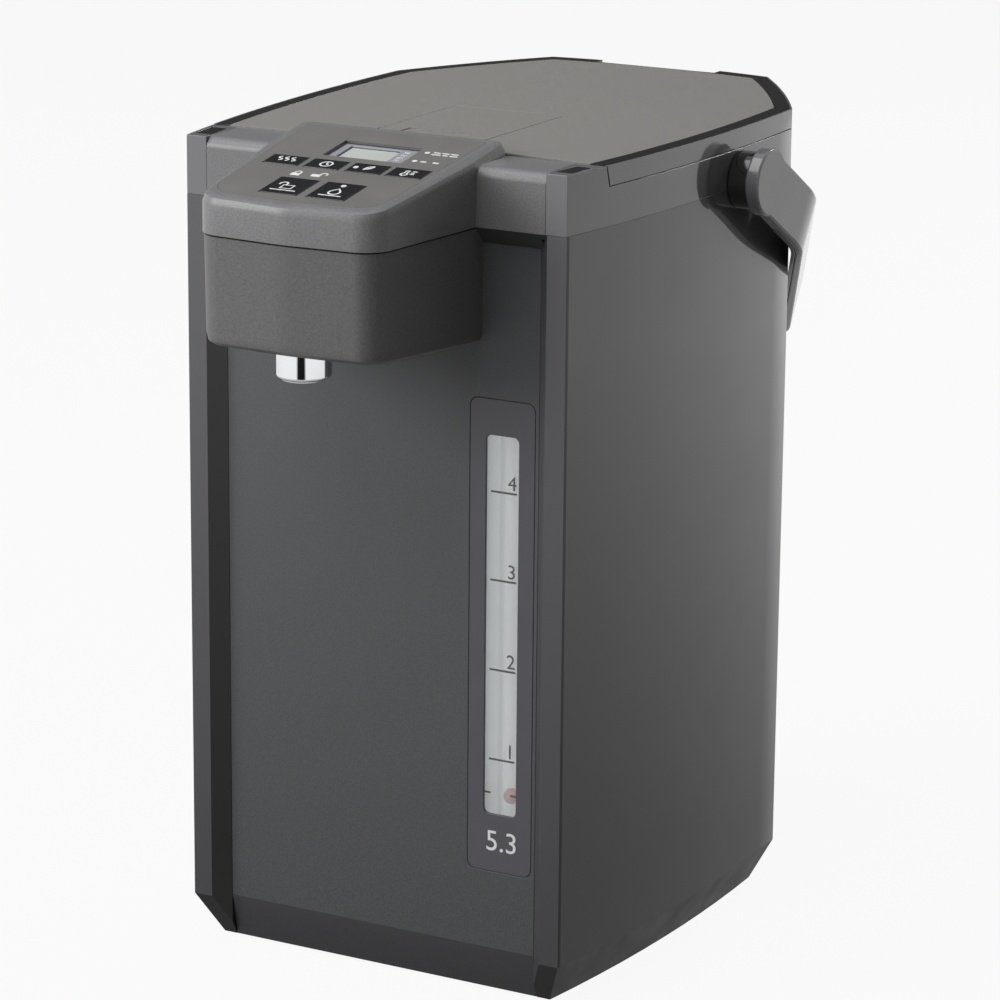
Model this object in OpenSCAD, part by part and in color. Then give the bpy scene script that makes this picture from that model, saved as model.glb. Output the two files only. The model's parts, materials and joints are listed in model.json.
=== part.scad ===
// Electric thermo pot, about five litres: steel vacuum vessel, pump and gauge
// in a faceted case that swivels on a ring, with a control head, lid and bail.
// Origin: on the swivel axis, in the plane the foot stands on. Front is -Y.

/* [Body outline] */
// Width across the front face
front_w = 187.5; // [186:0.5:192]
// Widest width, across the two side corners
body_w = 206.6; // [205:0.2:212]
// Width between the two rear corners
rear_w = 114.8; // [110:0.2:122]
// Depth from the front face to the rear face
body_d = 272; // [270:1:290]
// Depth of the side corners behind the front face
corner_depth = 198.6; // [194:0.2:202]
// Depth of the swivel axis behind the front face
swivel_depth = 140; // [136:1:144]
// Bow of each side panel
side_bow = 5.5; // [4:0.5:7]
// Bow of each rear corner panel
facet_bow = 1.9; // [1:0.1:3]
// Bow of the rear panel
rear_bow = 2.8; // [1:0.1:4]
// Thickness of the moulded walls
wall = 2.4; // [2:0.1:2.6]

/* [Heights] */
// Clearance under the case
ground_gap = 2; // [1.8:0.1:3]
// Height of the slanted foot of the case
foot_h = 20.2; // [16:0.2:24]
// Inset of the case at its lower edge
foot_in = 10.8; // [9:0.2:12]
// Height of the case, up to the shoulder seam
case_h = 344; // [335:1:360]
// Height of the shoulder ring above the case
shoulder_h = 17; // [16:0.5:20]
// Height of the lid rim above the shoulder ring
lid_h = 9; // [8.6:0.1:11]
// Rise of the middle of the lid above its edges
lid_crown = 1.4; // [0.8:0.1:2]

/* [Front panel] */
// Width of the strip at each side of the front recess
strip_w = 9.25; // [8:0.05:11]
// Depth of the front panel behind the face of the case
panel_in = 7.1; // [5:0.1:8]
// Width of the slanted return at each side of the front panel
return_w = 6.4; // [5.5:0.1:7.4]
// Thickness of the front panel
panel_t = 2.5; // [2:0.1:3]

/* [Control head] */
// Half width of the head where it leaves the shoulder
head_back_w = 50.7; // [49:0.1:54]
// Half width of the head at its front corners
head_front_w = 43.9; // [42:0.1:48]
// Reach of the head in front of the case
head_reach = 74.5; // [70:0.5:82]
// Corner radius of the head
head_r = 13; // [8:0.5:16]
// Height of the head below the shoulder seam
head_drop = 51.3; // [46:0.1:56]
// Slope of the control panel in degrees
panel_slope = 9.65; // [6:0.05:12]
// Height of the panel's rear edge above the lid rim
panel_rise = 5.8; // [5:0.1:7]
// Depth of the panel's rear edge behind the face of the case
panel_rear = 20.7; // [19:0.1:22]
// Outside diameter of the spout nozzle
spout_d = 23.6; // [18:0.1:26]
// Distance of the spout in front of the case
spout_reach = 56; // [54:0.1:60]

/* [Keys and display] */
// Size of a small key across and along the panel
small_key = [17, 10.4];
// Size of a large key across and along the panel
large_key = [18.4, 19];
// Travel of a key
key_travel = 0.8; // [0.5:0.1:1]
// Size of the display frame across and along the panel
display_size = [38, 19.2];
// Size of the display window across and along the panel
window_size = [24.6, 13.6];

/* [Water vessel] */
// Depth of the vessel's axis behind the front face
vessel_depth = 170; // [168:0.5:174]
// Clearance between the case wall and the vacuum jacket
vessel_clear = 3.6; // [3.4:0.1:7]
// Gap between the vacuum jacket and the vessel
jacket_gap = 6; // [5.4:0.1:8]
// Thickness of the vessel's sheet steel
steel_t = 0.8; // [0.6:0.1:1]
// Height of the vessel floor above the case's lower edge
vessel_floor = 67.6; // [66:0.2:74]
// Inset of the vessel's neck from its wall
neck_in = 9.2; // [8:0.1:11]

/* [Water gauge] */
// Distance of the gauge's axis from the side of the front panel
gauge_in = 17.8; // [17.2:0.1:19.6]
// Width of the gauge bezel
bezel_w = 31.5; // [30:0.5:33]
// Height of the lower end of the bezel
bezel_low = 56; // [52:0.5:60]
// Height of the upper end of the bezel
bezel_top = 268.8; // [262:0.2:274]
// Width of the gauge window
gauge_w = 15.9; // [12:0.1:18]
// Height of the lower end of the window
gauge_low = 82.5; // [78:0.5:86]
// Height of the upper end of the window
gauge_top = 253; // [246:0.5:258]

/* [Lid] */
// Depth of the lid's front edge behind the face of the case
lid_front = 28.2; // [27:0.1:30]
// Inset of the textured top plate from the lid's outline
border_w = 8.2; // [6:0.1:10]
// Half width of the lid lever
lever_w = 27; // [22:0.5:32]
// Length of the lid lever
lever_l = 70; // [60:1:76]
// Opening angle of the lid, in degrees
lid_open = 88; // [70:1:88]

/* [Carrying handle] */
// Clearance between the case's side corner and each handle arm
handle_clear = 11.3; // [9.5:0.1:14]
// Thickness of the handle arms
arm_t = 6.2; // [5.8:0.1:8]
// Width of the handle band
band_w = 27; // [22:0.5:28]
// Reach of the handle from its pivot to the outside of the grip
handle_reach = 187; // [182:0.5:200]
// Angle of the handle below the horizontal at rest
handle_rest = 31; // [27:0.5:31]
// Gap between the handle's sides and the case's rear corners
handle_rear_gap = 10; // [8:0.5:14]
// Depth of the handle pivot behind the face of the case
pivot_depth = 142; // [138:1:146]

/* [Swivel base] */
// Outside radius of the swivel ring
ring_r = 85.6; // [80:0.1:88]
// Height of the swivel ring inside the case
ring_h = 7.4; // [6:0.1:9]
// Width of the rubber foot
rubber_w = 15; // [10:0.5:16]

/* [Hidden] */

$fn = 64;
plan_fn = 1440;
over = 1;
seat = 0.2;
run_fit = 0.05;

// Levels
case_base = ground_gap;
foot_top = case_base + foot_h;
case_top = case_base + case_h;
shoulder_top = case_top + shoulder_h;
lid_top = shoulder_top + lid_h;
floor_z = case_base + vessel_floor;
lip_z = case_top - 8;
deck_z = case_top + 5.4;

// Widths
recess_w = front_w - 2 * strip_w;
panel_w = recess_w - 2 * return_w;
gauge_x = panel_w / 2 - gauge_in;
handle_w = body_w + 2 * (handle_clear + arm_t);
far = 300;

// Plan outline: five arcs closed by the flat front
front_y = -swivel_depth;
front_corner = [front_w / 2, front_y];
side_corner = [body_w / 2, front_y + corner_depth];
rear_corner = [rear_w / 2, front_y + body_d - rear_bow];
back_y = front_y + body_d;

function bow_radius(a, b, bow) = (pow(norm(b - a), 2) / 4 + bow * bow) / (2 * bow);
function bow_centre(a, b, bow) =
    let (along = (b - a) / norm(b - a), out = [along[1], -along[0]])
    (a + b) / 2 - out * (bow_radius(a, b, bow) - bow);
function bow_arc(a, b, bow) = [bow_centre(a, b, bow), bow_radius(a, b, bow)];
function flip(p) = [-p[0], p[1]];

right_arcs = [bow_arc(front_corner, side_corner, side_bow),
    bow_arc(side_corner, rear_corner, facet_bow)];
left_arcs = [for (a = right_arcs) [flip(a[0]), a[1]]];
plan_arcs = concat(right_arcs, left_arcs, [bow_arc(rear_corner, flip(rear_corner), rear_bow)]);

// The vacuum jacket is the largest circle that clears the case wall all round
vessel_y = front_y + vessel_depth;
jacket_r = min([for (a = plan_arcs) a[1] - norm([0, vessel_y] - a[0])]) - wall - vessel_clear;
vessel_r = jacket_r - steel_t - jacket_gap;
mouth_r = vessel_r - neck_in;

// Points of a polygon with arcs at its corners
function corner_arc(p, a, b, r, n) = r <= 0 ? [p] :
    let (u = (a - p) / norm(a - p), v = (b - p) / norm(b - p),
        half = acos(u * v) / 2,
        c = p + (u + v) / norm(u + v) * r / sin(half),
        s = p + u * r / tan(half) - c,
        e = p + v * r / tan(half) - c,
        a0 = atan2(s[1], s[0]),
        sweep = (atan2(e[1], e[0]) - a0 + 540) % 360 - 180)
    [for (i = [0:n]) c + r * [cos(a0 + sweep * i / n), sin(a0 + sweep * i / n)]];
function rounded(p, r, n = 6) = let (m = len(p))
    [for (i = [0:m - 1]) each corner_arc(p[i], p[(i + m - 1) % m], p[(i + 1) % m], r[i], n)];
function round_rect(w, h, r, n = 6) =
    rounded([[-w / 2, -h / 2], [w / 2, -h / 2], [w / 2, h / 2], [-w / 2, h / 2]], [r, r, r, r], n);

module both_sides() {
    children();
    mirror([1, 0, 0]) children();
}

module along_x(x0, x1) {
    translate([x0, 0, 0]) rotate([90, 0, 90]) linear_extrude(x1 - x0) children();
}

module plan(inset = 0, front = 0) {
    intersection() {
        intersection_for(a = plan_arcs) translate(a[0]) circle(r = a[1] - inset, $fn = plan_fn);
        translate([-body_w, front_y + front]) square([2 * body_w, 2 * body_d]);
    }
}

// A pipe of radius r through a list of points, with ball corners
module pipe(points, r) {
    for (i = [0:len(points) - 2]) {
        d = points[i + 1] - points[i];
        translate(points[i])
            rotate([0, acos(d[2] / norm(d)), atan2(d[1], d[0])])
                cylinder(r = r, h = norm(d));
        if (i > 0) translate(points[i]) sphere(r = r);
    }
}

// ---------------------------------------------------------------- case

// The case as a solid, shrunk by inset, longer by extra at both ends
module case_form(inset, extra) {
    intersection() {
        intersection_for(a = plan_arcs)
            translate(a[0]) rotate_extrude($fn = plan_fn)
                polygon([[0, case_base - extra], [a[1] - inset - foot_in, case_base - extra],
                    [a[1] - inset - foot_in, case_base], [a[1] - inset, foot_top],
                    [a[1] - inset, case_top + extra], [0, case_top + extra]]);
        along_x(-body_w, body_w)
            polygon([[front_y + inset + foot_in, case_base - extra],
                [front_y + inset + foot_in, case_base], [front_y + inset, foot_top],
                [front_y + inset, case_top + extra], [back_y + over, case_top + extra],
                [back_y + over, case_base - extra]]);
    }
}

// The front panel leans back at the foot, until it meets the case's lower edge
foot_shift = foot_in - panel_in;
recess_deep = 30;
return_deep = panel_in + 13;
recess_top = case_top - panel_in * 1.085;
panel_top = recess_top;
post_in = 9;
flange_low = case_base + wall + 0.4;
head_open_w = 30;
head_open_low = case_top - head_drop + 11;

// A slab between two depths that follows the front panel's lean
module front_slab(d0, d1, z1, half_w) {
    y0 = front_y + d0;
    y1 = front_y + d1;
    along_x(-half_w, half_w)
        polygon([[y0 + foot_shift, case_base], [y0, foot_top], [y0, z1],
            [y1, z1], [y1, foot_top], [y1 + foot_shift, case_base]]);
}

// Everything in front of the panel's face, up to the slanted top of the recess
module recess_void() {
    intersection() {
        translate([0, 0, -over]) linear_extrude(case_top + 2 * over)
            polygon([[-recess_w / 2, front_y], [-panel_w / 2, front_y + panel_in],
                [-panel_w / 2, front_y + recess_deep], [panel_w / 2, front_y + recess_deep],
                [panel_w / 2, front_y + panel_in], [recess_w / 2, front_y],
                [recess_w / 2, front_y - over], [-recess_w / 2, front_y - over]]);
        along_x(-body_w, body_w)
            polygon([[front_y - 9, case_base - over], [front_y + foot_in, case_base - over],
                [front_y + foot_in, case_base], [front_y + panel_in, foot_top],
                [front_y + panel_in, recess_top], [front_y, case_top],
                [front_y - 9, case_top]]);
    }
}

module panel_void() {
    front_slab(-9, panel_in + panel_t, panel_top, panel_w / 2);
    translate([-panel_w / 2, front_y - 9, case_base - over])
        cube([panel_w, 9 + foot_in + panel_t, over]);
}

// Slanted returns beside the panel and the flange that it is screwed to
module panel_frame() {
    back = panel_in + panel_t + wall;
    intersection() {
        translate([0, 0, flange_low]) linear_extrude(case_top - flange_low) both_sides()
            polygon([[recess_w / 2, front_y], [panel_w / 2, front_y + panel_in],
                [panel_w / 2, front_y + return_deep], [panel_w / 2 + wall, front_y + return_deep],
                [panel_w / 2 + wall, front_y + panel_in + 1], [recess_w / 2 + wall, front_y + 1],
                [recess_w / 2 + wall, front_y]]);
        front_slab(0, back, case_top, body_w);
    }
    intersection() {
        front_slab(panel_in + panel_t, back, case_top, panel_w / 2 + over);
        difference() {
            translate([-body_w, front_y, flange_low])
                cube([2 * body_w, recess_deep, case_top - flange_low]);
            translate([-panel_w / 2 + post_in, front_y - over, 0])
                cube([panel_w - 2 * post_in, recess_deep + 2 * over, panel_top - wall * 2]);
        }
    }
}

inlet_w = 44;
inlet_h = 24;
inlet_z = case_base + foot_h + 16;

module outer_case() {
    color([0.30, 0.30, 0.31]) difference() {
        union() {
            difference() {
                case_form(0, 0);
                case_form(wall, over);
            }
            intersection() {
                case_form(0, 0);
                panel_frame();
            }
            intersection() {
                case_form(0, 0);
                translate([-panel_w / 2 - wall, front_y, recess_top - over])
                    cube([panel_w + 2 * wall, panel_in + panel_t + wall, case_top - recess_top + over]);
            }
        }
        recess_void();
        panel_void();
        translate([-inlet_w / 2, back_y - 3 * wall, inlet_z - inlet_h / 2])
            cube([inlet_w, 4 * wall, inlet_h]);
    }
}

module front_panel() {
    color([0.27, 0.27, 0.28]) difference() {
        front_slab(panel_in, panel_in + panel_t, panel_top, panel_w / 2 - seat / 2);
        translate([-head_open_w, front_y - over, head_open_low])
            cube([2 * head_open_w, 30, case_top]);
        gauge_cut(bezel_w / 2 + seat, bezel_low - seat, bezel_top + seat, 4);
    }
}

// A rounded opening on the gauge's axis, between two heights over the case base
module gauge_cut(half_w, low, high, r) {
    translate([gauge_x, front_y + panel_in - 3, case_base + (low + high) / 2])
        rotate([-90, 0, 0]) linear_extrude(3 + 2 * panel_t)
            polygon(round_rect(2 * half_w, high - low, r));
}

plate_in = foot_in + wall + seat + 0.1;
channel_gap = 0.2;
channel_r = ring_r + 0.4;
channel_top = 2.4 + ring_h + channel_gap;
hub_r = ring_r - 25.2;
plate_top = case_base + wall;

module bottom_plate() {
    color([0.13, 0.13, 0.14]) {
        translate([0, 0, case_base]) linear_extrude(wall) difference() {
            plan(plate_in, plate_in);
            circle(r = channel_r);
        }
        rotate_extrude($fn = 128)
            polygon([[0, case_base], [hub_r, case_base], [hub_r, channel_top],
                [channel_r, channel_top], [channel_r, case_base],
                [channel_r + wall, case_base], [channel_r + wall, channel_top + wall],
                [hub_r - wall, channel_top + wall], [hub_r - wall, plate_top],
                [0, plate_top]]);
    }
}

foot_z = 2.4;
retainer_r = hub_r + 6;

module turntable_ring() {
    color([0.15, 0.15, 0.16]) rotate_extrude($fn = 128)
        polygon([[hub_r + 0.1, foot_z], [ring_r, foot_z], [ring_r, foot_z + ring_h - 1],
            [ring_r - 1, foot_z + ring_h], [hub_r + 1.1, foot_z + ring_h],
            [hub_r + 0.1, foot_z + ring_h - 1]]);
}

module foot_ring() {
    color([0.06, 0.06, 0.06]) rotate_extrude($fn = 128)
        polygon([[ring_r - 1.5 - rubber_w, 0.6], [ring_r - 0.9 - rubber_w, 0],
            [ring_r - 2.1, 0], [ring_r - 1.5, 0.6], [ring_r - 1.5, foot_z],
            [ring_r - 1.5 - rubber_w, foot_z]]);
}

screw_r = hub_r - 8;
screw_angles = [45, 135, 225, 315];

module turntable_retainer() {
    color([0.18, 0.18, 0.19]) difference() {
        translate([0, 0, case_base - 1.4]) rotate_extrude($fn = 96)
            polygon([[hub_r - 16, 0], [retainer_r, 0], [retainer_r, 1.2],
                [hub_r - 0.1, 1.2], [hub_r - 0.1, 1.4], [hub_r - 16, 1.4]]);
        for (a = screw_angles) rotate(a) translate([screw_r, 0, case_base - 2])
            cylinder(r = 1.6, h = 3);
    }
}

module bottom_screws() {
    color([0.7, 0.7, 0.72]) for (a = screw_angles) rotate(a) translate([screw_r, 0, 0]) {
        difference() {
            translate([0, 0, case_base - 1.9]) cylinder(r = 3, h = 0.5, $fn = 32);
            translate([-0.4, -3.5, case_base - 2]) cube([0.8, 7, 0.35]);
        }
        translate([0, 0, case_base - 1.4]) cylinder(r = 1.55, h = 1.4, $fn = 32);
    }
}

// ------------------------------------------------------------ shoulder

notch_run = 2.3;
shoulder_split = recess_w / 2 - 0.9;
ledge_in = 9;
trim_t = 0.9;
shoulder_edge = 5;

// The part of the plan in front of the lid, cut along its slanted front seam
module ahead_of_lid(gap) {
    along_x(-body_w, body_w)
        polygon([[front_y - over, case_top - over], [front_y - over, lid_top + 20],
            [front_y + lid_front - gap, lid_top + 20], [front_y + lid_front - gap, lid_top],
            [front_y + lid_front + notch_run - gap, shoulder_top],
            [front_y + lid_front + notch_run - gap, case_top - over]]);
}

lid_gap = 0.7;

module trim_plan(grow = 0) {
    translate([0, front_y]) both_sides()
        polygon([[recess_w / 2 + 0.2 - grow, 5.4 - grow], [front_w / 2 - 0.9 + grow, 5.4 - grow],
            [front_w / 2 + 0.7 + grow, 22 + grow], [recess_w / 2 + 2.4 - grow, 22 + grow]]);
}

module shoulder_ring() {
    color([0.42, 0.42, 0.43]) difference() {
        union() {
            translate([0, 0, case_top]) linear_extrude(shoulder_h) difference() {
                plan(0);
                plan(wall, wall);
            }
            translate([0, 0, shoulder_top - wall]) linear_extrude(wall) difference() {
                plan(0);
                plan(ledge_in, lid_front + notch_run);
            }
            intersection() {
                translate([0, 0, case_top]) linear_extrude(lid_top - case_top) plan(0);
                ahead_of_lid(lid_gap);
            }
        }
        translate([-shoulder_split, front_y - over, case_top - over])
            cube([2 * shoulder_split, lid_front + notch_run + over, lid_top]);
        both_sides() translate([0, 0, case_top - over])
            linear_extrude(lid_top - case_top - wall + over) intersection() {
                plan(wall, wall);
                translate([shoulder_split + wall, front_y]) square([body_w, lid_front - wall]);
            }
        translate([0, 0, lid_top - trim_t]) linear_extrude(trim_t + over) trim_plan(0.1);
    }
    color([0.42, 0.42, 0.43]) hinge_ears();
}

module shoulder_trim() {
    color([0.11, 0.11, 0.12]) translate([0, 0, lid_top - trim_t]) linear_extrude(trim_t) trim_plan();
}

// ---------------------------------------------------------------- head

head_front_y = front_y - head_reach;
rim_z = lid_top + panel_rise + 0.5;
rim_y = front_y + panel_rear;
head_back_y = front_y + lid_front - lid_gap;
sheet_t = 0.5;

// Plan of the head, shrunk by inset, from its rounded front back to back_at
module head_plan(inset, back_at, back_r = 0) {
    lean = (head_back_w - head_front_w) / (head_reach - 3);
    w_back = head_back_w + lean * (back_at - front_y) * (back_at < front_y ? 1 : 0);
    polygon(rounded([[-w_back + inset, back_at],
        [-head_back_w + inset, front_y - 1],
        [-head_front_w + inset, head_front_y + 3 + inset], [0, head_front_y + inset],
        [head_front_w - inset, head_front_y + 3 + inset],
        [head_back_w - inset, front_y - 1], [w_back - inset, back_at]],
        [back_r, 0, max(head_r - inset, 1), 60, max(head_r - inset, 1), 0, back_r]));
}

// Half space below the control panel's plane, dropped by drop
module below_panel(drop) {
    translate([0, rim_y, rim_z]) rotate([panel_slope, 0, 0])
        translate([-far / 2, -far / 2, -drop - far]) cube(far);
}

module head_prism(inset, drop, low, back_at) {
    intersection() {
        translate([0, 0, low]) linear_extrude(far) head_plan(inset, back_at, head_back_r);
        below_panel(drop);
    }
}

head_edge = 4.2;
head_back_r = 4;

module head_cap_form(inset, low) {
    hull() {
        head_prism(inset, inset + head_edge, low, head_back_y - inset);
        head_prism(inset + head_edge * 0.3, inset + head_edge * 0.3, low, head_back_y - inset - 1.2);
        head_prism(inset + head_edge, inset, low, head_back_y - inset - head_edge);
    }
}

// Places its child on the control panel: x across, y back up the slope from the
// panel's rear edge, z out of the panel
module on_panel(p, lift = 0) {
    translate([0, rim_y, rim_z - sheet_t]) rotate([panel_slope, 0, 0])
        translate([p[0], p[1], lift]) children();
}

key_small_y = -45;
key_large_y = -73.6;
key_pitch = 19.8;
small_keys = [[-1.4 * key_pitch - 0.6, key_small_y], [-0.4 * key_pitch - 0.4, key_small_y],
    [0.6 * key_pitch, key_small_y], [1.6 * key_pitch - 0.2, key_small_y]];
large_keys = [[-9.4, key_large_y], [13.4, key_large_y]];
display_at = [2.6, -24.8];
window_at = [0.4, -24.8];
frame_drop = 1;
lens_drop = 1.7;
led_at = [[26, -19.3], [26, -30.2]];
sheet_l = 90;
sheet_w = [88, 80.5];

module sheet_plan(grow = 0) {
    polygon(rounded([[-sheet_w[0] / 2 - grow, grow], [-sheet_w[1] / 2 - grow, -sheet_l - grow + 2],
        [0, -sheet_l - grow], [sheet_w[1] / 2 + grow, -sheet_l - grow + 2],
        [sheet_w[0] / 2 + grow, grow]], [2, 12, 60, 12, 2]));
}

// Through cuts for the keys, the display and the indicator lenses
module panel_cuts(gap) {
    for (p = small_keys) on_panel(p, -12) linear_extrude(20)
        square([small_key[0] + 2 * gap, small_key[1] + 2 * gap], center = true);
    for (p = large_keys) on_panel(p, -12) linear_extrude(20)
        square([large_key[0] + 2 * gap, large_key[1] + 2 * gap], center = true);
    on_panel(display_at, -12) linear_extrude(20)
        square([display_size[0] + gap, display_size[1] + gap], center = true);
    for (p = led_at) on_panel(p, -12) cylinder(r = 1.25, h = 20, $fn = 32);
}

key_gap = 0.3;
key_foot = 7;
board_drop = key_foot + key_travel + 0.2;
board_posts = [[36, -8], [34, -60]];

module head_upper_cover() {
    color([0.45, 0.45, 0.45]) {
        difference() {
            union() {
                head_cap_form(0, case_top);
                difference() {
                    shoulder_bar(0);
                    shoulder_bar(wall);
                }
            }
            intersection() {
                head_cap_form(wall, case_top - over);
                translate([-far / 2, head_front_y - over, case_top - over])
                    cube([far, head_reach + lid_front - lid_gap - wall, far]);
            }
            on_panel([0, 0], 0) linear_extrude(10) sheet_plan(0.1);
            panel_cuts(key_gap);
        }
        for (p = board_posts) both_sides() on_panel(p, -board_drop)
            cylinder(r = 2.5, h = board_drop - 1);
    }
}

// The moulded bar across the front of the shoulder, with a rounded upper edge
module shoulder_bar(inset) {
    low = case_top - (inset > 0 ? over : 0);
    along_x(-shoulder_split + seat / 2, shoulder_split - seat / 2)
        polygon(rounded([[front_y + inset, low], [front_y + inset, lid_top - inset],
            [head_back_y - inset, lid_top - inset],
            [head_back_y + notch_run - inset, shoulder_top],
            [head_back_y + notch_run - inset, low]],
            [0, shoulder_edge - inset, 0, 0, 0], 8));
}

lower_tilt = 3;

// A thin slice of the lower head at a height over the head's underside
module lower_slice(inset, z) {
    translate([0, front_y, case_top - head_drop]) rotate([-lower_tilt, 0, 0])
        translate([0, -front_y, z]) linear_extrude(0.02) head_plan(inset, front_y + panel_in + 3);
}

module lower_form(inset, raise) {
    hull() {
        translate([0, 0, case_top - 0.02 + raise]) linear_extrude(0.02)
            head_plan(0.5 + inset, front_y + panel_in + 3);
        lower_slice(0.9 + inset, 5 + inset);
        lower_slice(1.7 + inset, 1.6 + inset);
        lower_slice(4 + inset, inset);
    }
}

module head_lower_cover() {
    color([0.30, 0.30, 0.31]) difference() {
        lower_form(0, 0);
        lower_form(wall, over);
        along_x(-body_w, body_w)
            polygon([[front_y - 0.1, case_top + over], [front_y - 0.1, case_top],
                [front_y + panel_in, recess_top - 0.1], [front_y + panel_in, 0],
                [0, 0], [0, case_top + over]]);
        translate([0, front_y - spout_reach, case_top - head_drop - 20])
            cylinder(r = spout_d / 2 + seat, h = 31);
    }
}

module control_sheet() {
    color([0.36, 0.36, 0.36]) difference() {
        on_panel([0, 0], 0) linear_extrude(sheet_t) sheet_plan();
        panel_cuts(key_gap);
    }
}

module display_frame() {
    color([0.80, 0.81, 0.80]) on_panel([0, 0], -wall) difference() {
        translate([display_at[0], display_at[1], 0]) linear_extrude(wall + sheet_t - frame_drop)
            square([display_size[0], display_size[1]], center = true);
        translate([window_at[0], window_at[1], -over]) linear_extrude(10)
            square([window_size[0], window_size[1]], center = true);
    }
}

module display_lens() {
    color([0.62, 0.66, 0.60]) on_panel(window_at, -wall)
        linear_extrude(wall + sheet_t - lens_drop)
            square([window_size[0] - 0.1, window_size[1] - 0.1], center = true);
}

module indicator_lenses() {
    color([0.85, 0.85, 0.85]) for (p = led_at)
        on_panel(p, -wall) cylinder(r = 1.2, h = wall + sheet_t, $fn = 32);
}

module control_board() {
    board_t = 1.6;
    color([0.10, 0.30, 0.16]) {
        on_panel([0, -44], -board_drop - board_t) linear_extrude(board_t)
            square([80, 78], center = true);
        for (p = concat(small_keys, large_keys))
            on_panel(p, -board_drop) cylinder(r = 3, h = 0.2, $fn = 32);
        on_panel(display_at, -board_drop) linear_extrude(board_drop - wall)
            square([display_size[0] - 2, display_size[1] - 2], center = true);
    }
}

// A key: a cap with a lifted rim, and a stem that ends just over its switch
module key(p, size) {
    color([0.13, 0.13, 0.14]) {
        on_panel(p, -wall) linear_extrude(wall + sheet_t + 0.2)
            polygon(round_rect(size[0], size[1], 0.8, 3));
        on_panel(p, -key_foot + 0.2) cylinder(r = 2.4, h = key_foot - wall, $fn = 32);
    }
}

module key_reboil() {
    key(small_keys[0], small_key);
}

module key_timer() {
    key(small_keys[1], small_key);
}

module key_eco() {
    key(small_keys[2], small_key);
}

module key_temperature() {
    key(small_keys[3], small_key);
}

module key_unlock() {
    key(large_keys[0], large_key);
}

module key_dispense() {
    key(large_keys[1], large_key);
}

// ------------------------------------------------------ spout and gauge

spout_y = front_y - spout_reach;
spout_low = case_top - head_drop - 9.1;
spout_top = case_top - head_drop + 15.3;
spout_bore = 5.5;
pipe_r = 4.5;
pipe_z = case_top - 18;

module spout_nozzle() {
    r = spout_d / 2;
    color([0.85, 0.85, 0.86]) translate([0, spout_y, 0]) rotate_extrude($fn = 96)
        polygon([[spout_bore, spout_low + 1], [spout_bore + 1, spout_low],
            [r - 2.6, spout_low], [r - 2, spout_low + 0.5], [r - 1.8, spout_low + 1.2],
            [r - 0.9, spout_low + 1.3], [r - 0.2, spout_low + 1.8], [r, spout_low + 2.6],
            [r, case_top - head_drop + 9],
            [pipe_r + 2.6, case_top - head_drop + 12], [pipe_r + 2.6, spout_top],
            [pipe_r - 1, spout_top], [pipe_r - 1, spout_top - 2], [spout_bore, spout_top - 3]]);
}

tube_y = front_y + panel_in + 10;
tube_r = 4.5;
tube_low = case_base + bezel_low;
tube_top = case_base + bezel_top + 44;

module discharge_pipe() {
    x = gauge_x + 0.6;
    color([0.75, 0.75, 0.72]) pipe([[x, tube_y, tube_top], [x, tube_y, pipe_z],
        [0, tube_y, pipe_z], [0, spout_y, pipe_z], [0, spout_y, spout_top]], pipe_r);
}

module gauge_tube() {
    color([0.75, 0.80, 0.82, 0.4]) translate([gauge_x + 0.6, tube_y, tube_low]) difference() {
        cylinder(r = tube_r, h = tube_top - tube_low);
        translate([0, 0, -over]) cylinder(r = tube_r - 0.8, h = tube_top - tube_low + 2 * over);
    }
}

module gauge_ball() {
    color([0.80, 0.10, 0.14])
        translate([gauge_x + 0.6, tube_y, case_base + gauge_low + 6]) sphere(r = tube_r - 0.9);
}

bezel_t = 1.4;

module gauge_bezel() {
    color([0.33, 0.33, 0.35])
        translate([gauge_x, front_y + panel_in + bezel_t, case_base + (bezel_low + bezel_top) / 2])
            rotate([90, 0, 0]) linear_extrude(bezel_t) difference() {
                polygon(round_rect(bezel_w, bezel_top - bezel_low, 4));
                translate([0, (gauge_low + gauge_top - bezel_low - bezel_top) / 2])
                    polygon(round_rect(gauge_w, gauge_top - gauge_low, 2.5));
            }
}

module gauge_lens() {
    color([0.80, 0.83, 0.84, 0.4])
        translate([gauge_x, front_y + panel_in + bezel_t + 1, case_base + (bezel_low + bezel_top) / 2])
            rotate([90, 0, 0]) linear_extrude(1)
                square([bezel_w - 3, bezel_top - bezel_low - 3], center = true);
}

// Pale trough that closes the gauge behind the tube
module gauge_backing() {
    y0 = front_y + panel_in + panel_t + wall + 0.1;
    half = 12;
    depth = 14;
    t = 1.5;
    color([0.86, 0.87, 0.86])
        translate([gauge_x, 0, tube_low + 4]) linear_extrude(bezel_top - bezel_low) difference() {
            translate([-half, y0]) square([2 * half, depth]);
            translate([t - half, y0 - over]) square([2 * (half - t), depth + over - t]);
        }
}

// -------------------------------------------------------------- vessel

module on_vessel() {
    translate([0, vessel_y, 0]) children();
}

outlet_at = [20, -73];
neck_z = lip_z - 11;
outlet_r = 5;

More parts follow.
